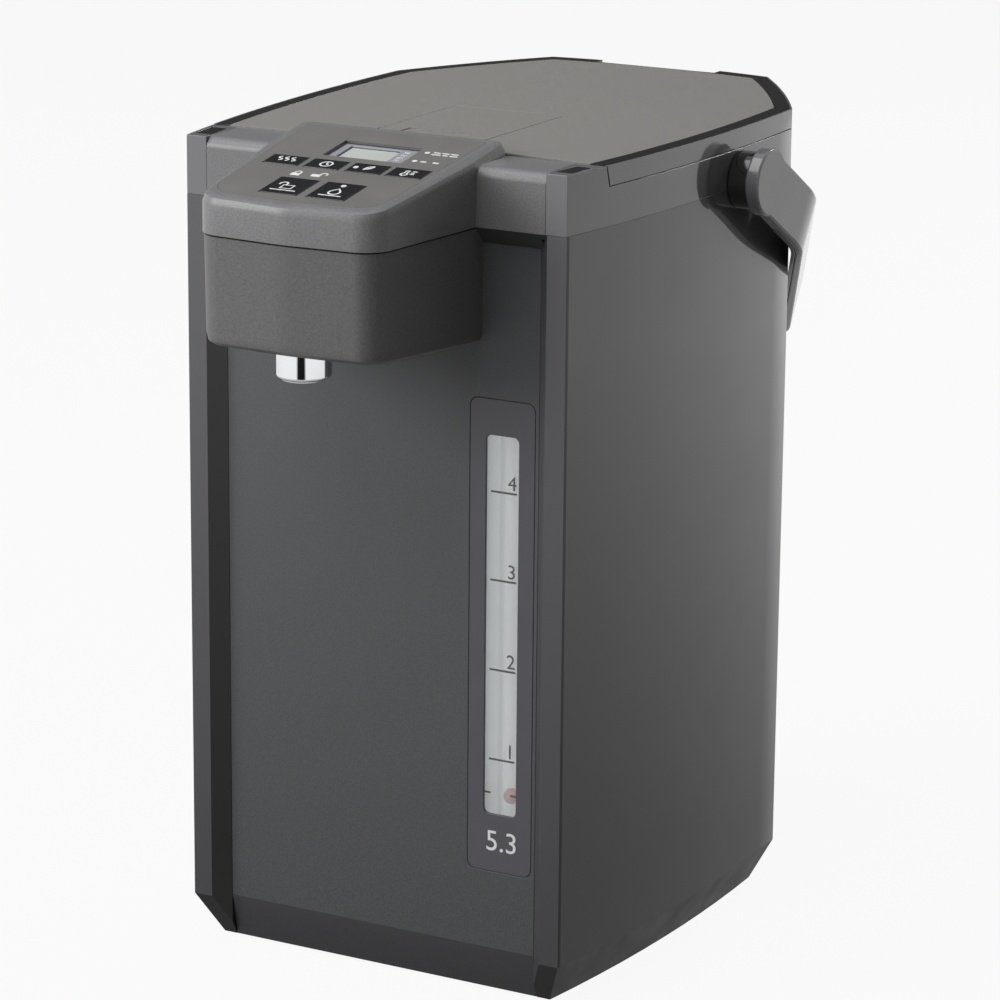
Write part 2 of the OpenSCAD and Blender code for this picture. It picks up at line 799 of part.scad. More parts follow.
// Sheet steel vessel: floor, wall, drawn-in neck and a rolled flange
module vessel_inner() {
    t = steel_t;
    r = vessel_r;
    color([0.75, 0.75, 0.77]) on_vessel() difference() {
        union() {
            rotate_extrude($fn = 128)
                polygon(rounded([[0, floor_z - t], [r + t, floor_z - t], [r + t, neck_z + t],
                    [mouth_r + t, lip_z - 4], [mouth_r + t, lip_z - t], [jacket_r, lip_z - t],
                    [jacket_r, lip_z], [mouth_r, lip_z], [mouth_r, lip_z - 4],
                    [r, neck_z], [r, floor_z], [0, floor_z]],
                    [0, 5 + t, 2, 2 + t, 0, 0, 0, 0, 2, 2, 5, 0], 4));
            translate([outlet_at[0], outlet_at[1], floor_z - 6]) cylinder(r = outlet_r, h = 6);
        }
        translate([outlet_at[0], outlet_at[1], floor_z - 7]) cylinder(r = outlet_r - 1, h = 9);
    }
}

module vessel_jacket() {
    t = steel_t;
    inner = vessel_r + t;
    color([0.65, 0.65, 0.66]) on_vessel() rotate_extrude($fn = 128)
        polygon([[inner, floor_z + 10], [jacket_r, floor_z + 10], [jacket_r, lip_z - t],
            [jacket_r - t, lip_z - t], [jacket_r - t, floor_z + 10 + t], [inner, floor_z + 10 + t]]);
}

post_r = 5;
post_ring = vessel_r - 5;
post_floor = [plate_top, plate_top, channel_top + wall, channel_top + wall];

module vessel_support() {
    top = floor_z - steel_t - seat;
    color([0.22, 0.22, 0.23]) on_vessel() {
        translate([0, 0, top - 5]) difference() {
            cylinder(r = post_ring + post_r, h = 5, $fn = 96);
            translate([0, 0, -over]) cylinder(r = post_ring - post_r, h = 5 + 2 * over, $fn = 96);
            translate([outlet_at[0], outlet_at[1], -over]) cylinder(r = outlet_r + 1.5, h = 7);
        }
        for (i = [0:3]) rotate(45 + 90 * i) translate([post_ring, 0, post_floor[i]])
            cylinder(r = post_r, h = top - 4 - post_floor[i]);
    }
}

guard_r = mouth_r + 5.5;
guard_top_r = mouth_r + 12;

// Deck under the lid, with a funnel down to the vessel's flange
module mouth_guard() {
    color([0.24, 0.24, 0.25]) {
        translate([0, 0, deck_z - wall]) linear_extrude(wall) difference() {
            plan(wall + seat, lid_front + notch_run - lid_gap + seat);
            on_vessel() circle(r = guard_top_r);
        }
        on_vessel() rotate_extrude($fn = 128)
            polygon([[guard_r, lip_z + 0.1], [guard_r + wall, lip_z + 0.1],
                [guard_r + wall, lip_z + 3], [guard_top_r + wall, deck_z - wall - 1],
                [guard_top_r + wall, deck_z], [guard_top_r - 1, deck_z],
                [guard_r, lip_z + 3.6]]);
    }
}

heater_r = 60;

module heater_plate() {
    color([0.55, 0.53, 0.50]) on_vessel() difference() {
        translate([0, 0, floor_z - steel_t - 5]) cylinder(r = heater_r, h = 5, $fn = 96);
        translate([0, 0, floor_z - steel_t - 6]) cylinder(r = 9.2, h = 8);
    }
}

module temperature_sensor() {
    color([0.7, 0.6, 0.3]) on_vessel() {
        translate([0, 0, floor_z - steel_t - 8]) cylinder(r = 9, h = 8);
        translate([0, 0, floor_z - steel_t - 12]) cylinder(r = 4, h = 4);
    }
}

// ---------------------------------------------------------------- pump

pump_at = [outlet_at[0], vessel_y + outlet_at[1]];
motor_r = 14;
motor_low = channel_top + wall + seat;
motor_h = 18;
volute_r = 24;
volute_low = motor_low + motor_h;
volute_h = 14;
volute_wall = 2.5;
shaft_r = 2;
arm_x = 17;
arm_l = 30;

module at_pump(z) {
    translate([pump_at[0], pump_at[1], z]) children();
}

module pump_motor() {
    color([0.6, 0.6, 0.62]) at_pump(motor_low) difference() {
        union() {
            cylinder(r = motor_r, h = motor_h);
            translate([-motor_r - 3, -4, 0]) cube([2 * motor_r + 6, 8, 3]);
        }
        translate([0, 0, motor_h - 8]) cylinder(r = shaft_r + run_fit, h = 9);
    }
}

module pump_housing() {
    color([0.82, 0.82, 0.80]) at_pump(volute_low) difference() {
        union() {
            cylinder(r = volute_r, h = volute_h);
            translate([0, 0, volute_h]) cylinder(r = outlet_r, h = 4);
            translate([arm_x, 0, volute_h / 2]) rotate([90, 0, 0]) cylinder(r = outlet_r, h = arm_l);
        }
        translate([0, 0, volute_wall])
            cylinder(r = volute_r - volute_wall, h = volute_h - 2 * volute_wall);
        translate([0, 0, -over]) cylinder(r = shaft_r + run_fit, h = volute_wall + 2 * over);
        translate([0, 0, volute_h - 4]) cylinder(r = outlet_r - 1.5, h = 9);
        translate([arm_x, 0, volute_h / 2]) rotate([90, 0, 0])
            cylinder(r = outlet_r - 1.5, h = arm_l + over);
    }
}

module pump_impeller() {
    disc_t = 1.5;
    blades = 6;
    blade_h = volute_h - 2 * volute_wall - disc_t - 1;
    color([0.9, 0.9, 0.88]) at_pump(volute_low + volute_wall + 0.5) {
        cylinder(r = volute_r - volute_wall - 2, h = disc_t);
        cylinder(r = 4, h = disc_t + blade_h);
        for (i = [0:blades - 1]) rotate(360 / blades * i) translate([3, -0.6, disc_t / 2])
            cube([volute_r - volute_wall - 6, 1.2, disc_t / 2 + blade_h - 0.5]);
        translate([0, 0, -volute_wall - 6]) cylinder(r = shaft_r, h = volute_wall + 6.5);
    }
}

module inlet_hose() {
    low = volute_low + volute_h + 4;
    color([0.85, 0.85, 0.83]) at_pump(low) difference() {
        cylinder(r = outlet_r + 1, h = floor_z - 6 - low);
        translate([0, 0, -over]) cylinder(r = outlet_r - 1, h = floor_z);
    }
}

module outlet_hose() {
    z = volute_low + volute_h / 2;
    x = gauge_x + 0.6;
    color([0.85, 0.85, 0.83]) pipe([[pump_at[0] + arm_x, pump_at[1] - arm_l, z],
        [pump_at[0] + arm_x, tube_y, z], [x, tube_y, z], [x, tube_y, tube_low]], outlet_r);
}

// --------------------------------------------------------- electronics

board_y = front_y + panel_in + panel_t + foot_shift;

module power_board() {
    w = 84;
    h = 120;
    low = case_base + 74;
    back = board_y + 10;
    x0 = -60;
    color([0.12, 0.32, 0.18]) {
        translate([x0, back, low]) cube([w, 1.6, h]);
        translate([x0 + 8, back + 1.6, low + 12]) cube([34, 26, 30]);
        translate([x0 + 60, back + 1.6, low + 24]) rotate([-90, 0, 0]) cylinder(r = 9, h = 24);
        translate([x0 + 14, back + 1.6, low + 60]) cube([50, 12, 4]);
        for (x = [6, w - 6], z = [6, h - 6])
            translate([x0 + x, front_y + panel_in + panel_t, low + z]) rotate([-90, 0, 0])
                cylinder(r = 3, h = back - front_y - panel_in - panel_t, $fn = 32);
    }
}

inlet_d = 16;
socket_w = 34;
socket_h = 14;
socket_d = 9;
inlet_back = back_y - 1.5;

module power_inlet() {
    color([0.08, 0.08, 0.09]) translate([0, inlet_back - inlet_d, inlet_z]) difference() {
        union() {
            translate([-inlet_w / 2 + seat, 0, -inlet_h / 2 + seat])
                cube([inlet_w - 2 * seat, inlet_d, inlet_h - 2 * seat]);
            translate([-inlet_w / 2 - 4, 0, -inlet_h / 2 - 4])
                cube([inlet_w + 8, inlet_d - 1.6, inlet_h + 8]);
        }
        translate([-socket_w / 2, inlet_d - socket_d, -socket_h / 2])
            cube([socket_w, socket_d + over, socket_h]);
    }
}

module inlet_pins() {
    color([0.8, 0.7, 0.4]) both_sides() translate([10, inlet_back - socket_d, inlet_z])
        rotate([-90, 0, 0]) cylinder(r = 1.6, h = 4, $fn = 32);
}

// -------------------------------------------------------------- handle

pivot_y = front_y + pivot_depth;
pivot_z = case_top + 3;
arm_out = handle_w / 2;
arm_in = arm_out - arm_t;
arm_end_r = band_w / 2 + 1.5;
boss_r = 13;
boss_face = arm_in - 0.3;
pin_r = 5;
pin_l = 4.6;
strap_t = 5.2;
grip_t = 8;
liner_t = 1.8;
liner_from = 24;
liner_lead = 22;
handle_corner_gap = 0.4;
bend_r = 45;
corner_r = 30;

// The inside of each side is a line that clears the side corner and the rear corner,
// at the band's lower edge. Distances s run along the handle from its pivot.
function reach_to(y) = (y - pivot_y + band_w / 2 * sin(handle_rest)) / cos(handle_rest);
corner_s = reach_to(side_corner[1]);
rear_s = reach_to(rear_corner[1]);
corner_x = side_corner[0] + handle_corner_gap;
rear_x = rear_corner[0] + handle_rear_gap;
corner_lean = atan((corner_x - rear_x) / (rear_s - corner_s));
side_x = handle_w / 2 - strap_t / cos(corner_lean);
bend_s = max(corner_s - (side_x - corner_x) / tan(corner_lean), liner_from + liner_lead);
handle_lean = atan((side_x - rear_x) / (rear_s - bend_s));

module handle_bosses() {
    color([0.08, 0.08, 0.09]) both_sides() difference() {
        translate([body_w / 2 - 6, pivot_y, pivot_z]) rotate([0, 90, 0])
            cylinder(r = boss_r, h = boss_face - body_w / 2 + 6);
        translate([0, 0, case_base]) linear_extrude(lid_top) plan(0);
        translate([boss_face - 4, pivot_y, pivot_z]) rotate([0, 90, 0])
            cylinder(r = pin_r, h = 5);
    }
}

module handle_pins() {
    color([0.7, 0.7, 0.72]) both_sides()
        translate([boss_face - 4, pivot_y, pivot_z]) rotate([0, 90, 0])
            cylinder(r = pin_r, h = 4.3 + pin_l);
}

// Half of the handle's side path, at a depth under its outer face: from the
// arm's end along the leaning side to the middle of the grip
function side_line(t, s) = handle_w / 2 - tan(handle_lean) * (s - bend_s) - t / cos(handle_lean);
function bend_at(x, t) = bend_s + (handle_w / 2 - t / cos(handle_lean) - x) / tan(handle_lean);
function bail_half(x_arm, t_side, s_grip, s_end) = [[x_arm, s_end], [x_arm, bend_at(x_arm, t_side)],
    [side_line(t_side, s_grip), s_grip], [0, s_grip]];

module bail_area(x_arm, t_side, s_grip, s_end, r_bend, r_corner) {
    h = bail_half(x_arm, t_side, s_grip, s_end);
    polygon(rounded(concat(h, [for (i = [2:-1:0]) flip(h[i])]),
        [0, r_bend, r_corner, 0, r_corner, r_bend, 0], 8));
}

// Turns a handle drawn in its own plane down to where it rests
module on_handle() {
    translate([0, pivot_y, pivot_z]) rotate([-handle_rest, 0, 0]) children();
}

module band_sides() {
    rotate([0, 90, 0]) translate([0, 0, -handle_w]) {
        cylinder(r = arm_end_r, h = 2 * handle_w);
        translate([-band_w / 2, 0, 0]) cube([band_w, handle_reach + over, 2 * handle_w]);
    }
}

module handle_bail() {
    color([0.42, 0.42, 0.43]) on_handle() difference() {
        intersection() {
            translate([0, 0, -arm_end_r]) linear_extrude(2 * arm_end_r) difference() {
                bail_area(arm_out, 0, handle_reach, -arm_end_r, bend_r, corner_r);
                bail_area(arm_in, strap_t - liner_t, handle_reach - grip_t + liner_t,
                    -arm_end_r - over, bend_r - 4, corner_r - 4);
            }
            band_sides();
        }
        liner_solid();
        both_sides() translate([arm_in - over, 0, 0]) rotate([0, 90, 0])
            cylinder(r = pin_r + run_fit, h = pin_l + over + 0.3);
    }
}

module liner_solid() {
    intersection() {
        translate([0, 0, -band_w / 2]) linear_extrude(band_w) difference() {
            bail_area(arm_in + liner_t, strap_t - liner_t, handle_reach - grip_t + liner_t,
                liner_from, bend_r - 5, corner_r - 4);
            bail_area(arm_in, strap_t, handle_reach - grip_t, liner_from - over,
                bend_r - 5, corner_r - 6);
        }
        band_sides();
    }
}

module handle_liner() {
    color([0.09, 0.09, 0.10]) on_handle() liner_solid();
}

// ----------------------------------------------------------- lid hinge

hinge_y = back_y - 3.5;
hinge_z = lid_top - 2.9;
hinge_w = 62;
ear_w = 12;
ear_r = 2.6;
knuckle_r = 2.4;
hinge_pin_r = 1.3;
hinge_notch = 8.5;
rear_wall = hinge_w + 6;

module hinge_ears() {
    both_sides() translate([hinge_w / 2 - ear_w, 0, 0]) difference() {
        union() {
            translate([0, hinge_y, hinge_z]) rotate([0, 90, 0]) cylinder(r = ear_r, h = ear_w);
            translate([0, hinge_y - ear_r, deck_z + 1]) cube([ear_w, 2 * ear_r - 1.4, hinge_z - deck_z - 1]);
        }
        translate([-over, hinge_y, hinge_z]) rotate([0, 90, 0])
            cylinder(r = hinge_pin_r, h = ear_w + 2 * over);
    }
}

module hinge_pin() {
    color([0.75, 0.75, 0.77]) translate([-hinge_w / 2, hinge_y, hinge_z]) rotate([0, 90, 0])
        cylinder(r = hinge_pin_r, h = hinge_w);
}

// Cap that turns with the lid, over the hinge's ears and knuckle: flat ahead of
// the pin and curled down behind it
module hinge_cover() {
    inner = ear_r + 0.15;
    outer = inner + 0.7;
    low = 28;
    color([0.10, 0.10, 0.11]) along_x(-hinge_w / 2, hinge_w / 2) translate([hinge_y, hinge_z])
        polygon(concat([[back_y - hinge_notch - hinge_y, inner], [0, inner]],
            [for (a = [80:-(80 - low) / 6:low]) inner * [cos(a), sin(a)]],
            [for (a = [low:(90 - low) / 7:90]) outer * [cos(a), sin(a)]],
            [[back_y - hinge_notch - hinge_y, outer]]));
}

// ----------------------------------------------------------------- lid

crown_r = (pow(body_w / 2, 2) + lid_crown * lid_crown) / (2 * lid_crown);
plate_t = 1.2;
skirt_z = shoulder_top + 0.4;
rear_skirt_z = skirt_z + 1;
lid_deck = plate_t + 2.2;
lever_front = lid_front + 22;
lever_back = lever_front + lever_l;
lever_gap = 0.45;
lever_t = 3;
tray_low = deck_z + 2.6;
tray_in = 12;
plug_r = mouth_r - 4;
plug_low = lip_z - 7;

// Height of the lid's crown at x
function crown_at(x) = lid_top + lid_crown - crown_r + sqrt(crown_r * crown_r - x * x);

// Everything under the crowned top of the lid, dropped by drop
module under_crown(drop) {
    steps = 24;
    half = body_w / 2 + 4;
    translate([0, back_y + over, -drop]) rotate([90, 0, 0]) linear_extrude(body_d + 2 * over)
        polygon(concat([[half, deck_z - 80], [-half, deck_z - 80]],
            [for (i = [0:steps]) let (x = half * (2 * i / steps - 1)) [x, crown_at(x)]]));
}

module behind_seam() {
    along_x(-body_w, body_w)
        polygon([[front_y + lid_front, lid_top + 20], [front_y + lid_front, lid_top],
            [front_y + lid_front + notch_run, shoulder_top],
            [front_y + lid_front + notch_run, deck_z - 40],
            [back_y + 20, deck_z - 40], [back_y + 20, lid_top + 20]]);
}

module hinge_void() {
    half = hinge_w / 2 + 0.5;
    translate([-half, back_y - hinge_notch, skirt_z - over]) cube([2 * half, 30, 30]);
}

module lever_void(gap) {
    translate([-lever_w - gap, front_y + lever_front - gap, skirt_z - over])
        cube([2 * lever_w + 2 * gap, lever_l + 2 * gap, 30]);
}

module lid_layer(top_drop, low_drop) {
    difference() {
        under_crown(top_drop);
        under_crown(low_drop);
    }
}

module lid_cover() {
    knuckle_half = hinge_w / 2 - ear_w - 0.5;
    color([0.42, 0.42, 0.43]) difference() {
        union() {
            difference() {
                intersection() {
                    translate([0, 0, skirt_z]) linear_extrude(20) plan(0);
                    under_crown(0);
                    behind_seam();
                }
                intersection() {
                    translate([0, 0, skirt_z - over]) linear_extrude(20)
                        plan(wall, lid_front + notch_run + wall);
                    under_crown(lid_deck);
                }
                difference() {
                    translate([0, 0, lid_top - 5]) linear_extrude(20)
                        plan(trim_t, lid_front - over);
                    under_crown(plate_t);
                }
                hinge_void();
                lever_void(lever_gap);
                translate([-body_w, back_y - 14, skirt_z - over])
                    cube([2 * body_w, 30, rear_skirt_z - skirt_z + over]);
            }
            lever_well();
            translate([-knuckle_half, hinge_y, hinge_z]) rotate([0, 90, 0])
                cylinder(r = knuckle_r, h = 2 * knuckle_half);
            translate([-knuckle_half, back_y - hinge_notch - wall, hinge_z - 1.6])
                cube([2 * knuckle_half, hinge_y - back_y + hinge_notch + wall, 3.2]);
            translate([-rear_wall / 2, back_y - hinge_notch - wall, rear_skirt_z])
                cube([rear_wall, wall, lid_top - rear_skirt_z - plate_t]);
        }
        translate([-hinge_w, hinge_y, hinge_z]) rotate([0, 90, 0])
            cylinder(r = hinge_pin_r + run_fit, h = 2 * hinge_w);
        latch_path(0.3);
        lever_pin_form(0);
    }
}

well_low = skirt_z + 1;

// Box sunk in the lid that holds the lever and lets a finger under its lip
module lever_well() {
    w = lever_w + lever_gap;
    y0 = front_y + lever_front - lever_gap;
    l = lever_l + 2 * lever_gap;
    difference() {
        intersection() {
            translate([-w - 1.6, y0 - 1.6, well_low]) cube([2 * w + 3.2, l + 3.2, lid_h]);
            under_crown(lid_deck - 0.2);
        }
        translate([-w, y0, well_low + 1.4]) cube([2 * w, l, 20]);
    }
}

module lid_top_plate() {
    color([0.53, 0.52, 0.50]) difference() {
        intersection() {
            translate([0, 0, lid_top - 5]) linear_extrude(20)
                plan(border_w, lid_front);
            lid_layer(0, plate_t);
        }
        lever_void(lever_gap);
        hinge_void();
    }
}

module lid_border() {
    color([0.11, 0.11, 0.12]) difference() {
        intersection() {
            translate([0, 0, lid_top - 5]) linear_extrude(20) difference() {
                plan(trim_t, lid_front);
                plan(border_w, lid_front - over);
            }
            lid_layer(0, plate_t);
        }
        hinge_void();
    }
}

lever_hinge = [front_y + lever_back - 4, lid_top + lid_crown - 2.3];
lip_l = 9;
lip_w = 16;
lip_drop = 0.5;

module lever_pin_form(gap) {
    translate([-lever_w - 1.8, lever_hinge[0], lever_hinge[1]]) rotate([0, 90, 0])
        cylinder(r = 1.1 + gap, h = 2 * lever_w + 3.6, $fn = 32);
}

module lever_pin() {
    color([0.7, 0.7, 0.72]) lever_pin_form(0);
}

// Flush lever with a scooped finger lip at its front edge
module lid_lever() {
    y0 = front_y + lever_front;
    color([0.53, 0.52, 0.51]) difference() {
        intersection() {
            translate([-lever_w, y0, lid_top - lever_t]) linear_extrude(20)
                polygon(rounded([[0, 0], [2 * lever_w, 0], [2 * lever_w, lever_l], [0, lever_l]],
                    [1.5, 1.5, 1.5, 1.5], 4));
            under_crown(0);
        }
        difference() {
            translate([-lip_w, y0 - over, lid_top - over])
                cube([2 * lip_w, lip_l + over, 10]);
            under_crown(lip_drop);
        }
        lever_pin_form(run_fit);
    }
}

latch_w = 7;
latch_z = well_low + 2.2;
latch_tip = 0.4;

module latch_path(gap) {
    translate([-latch_w - gap, front_y + lid_front - 1, latch_z - gap])
        cube([2 * (latch_w + gap), lever_back - lid_front - 20, 2 + 2 * gap]);
}

// Sliding latch: a flat bar from under the lever to the lid's front edge
module lid_latch() {
    y0 = front_y + lid_front + notch_run * (lid_top - latch_z) / lid_h - latch_tip;
    color([0.30, 0.30, 0.31]) translate([-latch_w, y0, latch_z])
        cube([2 * latch_w, lever_back - lid_front - 30, 2]);
}

module lid_inner_cover() {
    flange_z = skirt_z + 0.6;
    y0 = lid_front + notch_run + 7;
    color([0.28, 0.28, 0.29]) difference() {
        union() {
            translate([0, 0, tray_low]) linear_extrude(flange_z - tray_low) difference() {
                plan(tray_in, y0);
                plan(tray_in + wall, y0 + wall);
            }
            translate([0, 0, flange_z]) linear_extrude(1.4) difference() {
                plan(wall + seat, lid_front + notch_run + wall + seat);
                plan(tray_in + wall, y0 + wall);
                translate([-rear_wall / 2 - seat, back_y - hinge_notch - wall - seat])
                    square([rear_wall + 2 * seat, 30]);
            }
            translate([0, 0, tray_low]) linear_extrude(wall) plan(tray_in, y0);
            on_vessel() translate([0, 0, plug_low])
                cylinder(r = plug_r, h = tray_low - plug_low + 1, $fn = 128);
        }
        on_vessel() translate([0, 0, plug_low - over])
            cylinder(r = plug_r - wall, h = tray_low - plug_low + over, $fn = 128);
        hinge_void();
    }
    color([0.28, 0.28, 0.29]) intersection() {
        for (a = screw_angles) on_vessel() rotate(a)
            translate([plug_r - 8, 0, tray_low + wall - 0.1]) cylinder(r = 3, h = lid_h + 8);
        under_crown(lid_deck + 0.05);
    }
}

module lid_inner_plate() {
    color([0.75, 0.75, 0.77]) on_vessel() difference() {
        translate([0, 0, plug_low - 1.2]) cylinder(r = plug_r, h = 1.2, $fn = 128);
        for (a = [0:60:300]) rotate(a) translate([6, 0, plug_low - 2]) cylinder(r = 1.5, h = 4, $fn = 32);
    }
}

module lid_gasket() {
    color([0.75, 0.75, 0.74]) on_vessel() rotate_extrude($fn = 128)
        polygon([[plug_r, lip_z + 0.3], [mouth_r + 3.6, lip_z + 0.3], [mouth_r + 3.6, lip_z + 1.3],
            [plug_r + 2, lip_z + 3.3], [plug_r, lip_z + 3.3]]);
}

module steam_valve() {
    color([0.20, 0.20, 0.21]) on_vessel() difference() {
        translate([0, 0, plug_low - 5.2]) cylinder(r = 11, h = 4);
        translate([0, 0, plug_low - 4.2]) cylinder(r = 9, h = 4);
        for (a = [0:45:315]) rotate(a) translate([8, -1, plug_low - 4]) cube([5, 2, 2]);
    }
}

turntable_ring();
foot_ring();
bottom_plate();
turntable_retainer();
bottom_screws();
outer_case();
front_panel();
shoulder_ring();
shoulder_trim();
head_upper_cover();
head_lower_cover();
control_sheet();
display_frame();
display_lens();
control_board();
indicator_lenses();
spout_nozzle();
discharge_pipe();
gauge_bezel();
gauge_lens();
gauge_backing();
gauge_tube();
gauge_ball();
vessel_inner();
vessel_jacket();
vessel_support();
mouth_guard();
heater_plate();
temperature_sensor();
pump_housing();
pump_motor();
pump_impeller();
inlet_hose();
outlet_hose();
power_board();
power_inlet();
inlet_pins();
handle_bosses();
handle_pins();
handle_bail();
handle_liner();
hinge_cover();
hinge_pin();
lid_cover();
lid_top_plate();
lid_border();
lid_inner_cover();
lid_inner_plate();
lid_gasket();
steam_valve();
lid_lever();
lever_pin();
lid_latch();
key_reboil();
key_timer();
key_eco();
key_temperature();
key_unlock();
key_dispense();
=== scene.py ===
"""Surfaces, printing and studio of an electric thermo pot, laid out as a Blender add-on."""

import json
from math import cos, pi, radians, sin

import bmesh
import bpy
from mathutils import Matrix, Vector


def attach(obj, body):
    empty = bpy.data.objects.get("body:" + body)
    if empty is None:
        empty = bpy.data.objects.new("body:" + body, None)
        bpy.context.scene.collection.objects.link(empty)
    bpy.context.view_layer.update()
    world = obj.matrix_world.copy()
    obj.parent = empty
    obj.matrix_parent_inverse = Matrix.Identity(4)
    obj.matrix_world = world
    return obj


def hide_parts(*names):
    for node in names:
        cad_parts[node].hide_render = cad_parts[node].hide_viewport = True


bl_info = {
    "name": "Thermo Pot Dresser",
    "version": (1, 0, 0),
    "blender": (4, 5, 0),
    "location": "3D View > Sidebar > Thermo Pot",
    "description": "Dresses the packed thermo pot and sets up its studio",
    "category": "Object",
}

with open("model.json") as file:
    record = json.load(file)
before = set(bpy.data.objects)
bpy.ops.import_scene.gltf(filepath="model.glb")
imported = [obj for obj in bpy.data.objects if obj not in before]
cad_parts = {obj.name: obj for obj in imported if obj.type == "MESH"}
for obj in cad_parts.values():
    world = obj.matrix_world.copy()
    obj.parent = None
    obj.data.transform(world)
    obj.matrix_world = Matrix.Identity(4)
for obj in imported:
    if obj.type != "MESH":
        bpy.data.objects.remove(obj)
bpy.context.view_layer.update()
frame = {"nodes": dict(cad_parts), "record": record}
BODY_OF = {
    node: body
    for body, nodes in frame["record"]["behaviour"]["bodies"].items()
    for node in nodes
}
SLOT_OF = {row["node"]: row["material_slot"] for row in frame["record"]["subparts"]}

MM = 0.001
FRONT_Y = -0.140
CASE_TOP = 0.346
FOOT_TOP = 0.0222

# The sunk front: half its width, where it ends behind the front, and where the
# part under the shoulder starts
RECESS_X = 0.0856
RECESS_BACK = FRONT_Y + 0.012
RECESS_TOP = CASE_TOP - 0.02

# The case's front corner: a thin band of painted dark reflection this far out and forward
CORNER_X = RECESS_X + 0.006
CORNER_Y = -0.1381

# Height of the dark line where the head meets the shoulder
SEAM = 0.0008

# Height above which the painted height shade, darker low down and lighter high up, starts to
# change the case's colour
PAINTED_SHADE_FROM = 0.02

# The control panel's plane: the middle of its rear edge, and its slope
PANEL_REAR = Vector((0, -0.1193, 0.3778))
PANEL_SLOPE = radians(9.65)

# Heights of the film and of the keys over that plane
SHEET_TOP = 0.0005
KEY_TOP = 0.0007


def tone(red, green, blue):
    """Linear colour of an 8-bit screen colour."""
    return tuple(
        v / 12.92 if v <= 0.04045 else ((v + 0.055) / 1.055) ** 2.4
        for v in (red / 255, green / 255, blue / 255)
    )


# ------------------------------------------------------------------ settings


def colour_property(name, description, default):
    return bpy.props.FloatVectorProperty(
        name=name, description=description, default=default, subtype="COLOR", min=0, max=1
    )


def length_property(name, description, default):
    return bpy.props.FloatProperty(
        name=name, description=description, default=default, unit="LENGTH", min=0, precision=5
    )


class PotColours(bpy.types.PropertyGroup):
    """Colours of the pot's surfaces"""

    lacquer: colour_property("Case lacquer", "Gloss lacquer of the case", tone(63, 63, 65))
    # The front strips' colour is a lighter copy of the case lacquer: painted light on its
    # front-facing faces
    strip: colour_property("Front strips", "Case beside the front panel", tone(68, 68, 71))
    panel: colour_property("Front panel", "Grained front panel", tone(78, 79, 80))
    head: colour_property("Head", "Grained covers of the control head", tone(114, 114, 115))
    shoulder: colour_property("Shoulder", "Lacquer of the shoulder ring", tone(112, 112, 114))
    top: colour_property("Lid top", "Grained warm grey of the lid", tone(129, 127, 124))
    film: colour_property("Panel film", "Printed film over the keys", tone(112, 111, 109))
    black: colour_property("Black", "Gloss black trim", tone(26, 26, 28))
    key: colour_property("Keys", "Key caps", tone(30, 30, 33))
    printing: colour_property("Printing", "Pale marks on the panel", tone(226, 226, 224))
    glass: colour_property("Display", "Display behind its window", tone(200, 206, 198))
    ball: colour_property("Float", "Float in the water gauge", tone(176, 52, 72))


class PotSizes(bpy.types.PropertyGroup):
    """Sizes of the pot's finishing details"""

    case_edge: length_property("Case edge", "Rounding of the case's edges", 0.0009)
    head_edge: length_property("Head edge", "Rounding of the head's edges", 0.0006)
    lid_edge: length_property("Lid edge", "Rounding of the lid's edges", 0.0011)
    handle_edge: length_property("Handle edge", "Rounding of the handle's edges", 0.0016)
    seam: length_property("Seam", "Rounding where two mouldings meet", 0.00025)
    grain: length_property("Grain", "Width of one grain of the moulded texture", 0.0004)
    digit: length_property("Gauge digit", "Height of the gauge's digits", 0.0065)
    stroke: length_property("Print stroke", "Width of the printed lines", 0.0009)


# ------------------------------------------------------------------ finishes


class Wire:
    """A shader socket that can stand in a Python sum."""

    def __init__(self, graph, socket):
        self.graph = graph
        self.socket = socket

    def math(self, operation, *values):
        return self.graph.node("ShaderNodeMath", {"operation": operation}, *values)

    def __rsub__(self, other):
        return self.math("SUBTRACT", other, self)

    def __mul__(self, other):
        return self.math("MULTIPLY", self, other)

    __rmul__ = __mul__

    def most(self, other):
        return self.math("MAXIMUM", self, other)


class Graph:
    """The nodes of a material or of the surroundings."""

    def __init__(self, tree):
        self.tree = tree

    def node(self, kind, settings, *values, out=0, **named):
        """Adds a node: its settings first, then the values or wires of the sockets
        that it shows with them, in their order or by name."""
        made = self.tree.nodes.new(kind)
        for key, value in settings.items():
            setattr(made, key, value)
        shown = [socket for socket in made.inputs if socket.enabled]
        for socket, value in zip(shown, values):
            self.put(socket, value)
        for name, value in named.items():
            self.put(made.inputs[name], value)
        return Wire(self, made.outputs[out])

    def put(self, socket, value):
        if isinstance(value, Wire):
            self.tree.links.new(value.socket, socket)
        else:
            socket.default_value = value

    def show(self, output, wire):
        """Makes the wire what the material or the surroundings show."""
        self.put(self.tree.nodes[output].inputs["Surface"], wire)

    def ramp(self, wire, low, high, start=0.0, end=1.0):
        """start to end as the wire goes from low to high."""
        return self.node("ShaderNodeMapRange", {}, wire, low, high, start, end)

    def place(self):
        """Object coordinates, in metres."""
        return self.node("ShaderNodeTexCoord", {}, out="Object")


# Most of a noise lies between these
NOISE_LOW = 0.3
NOISE_HIGH = 0.7

# The Mix node's output for a colour
MIXED_COLOUR = 2


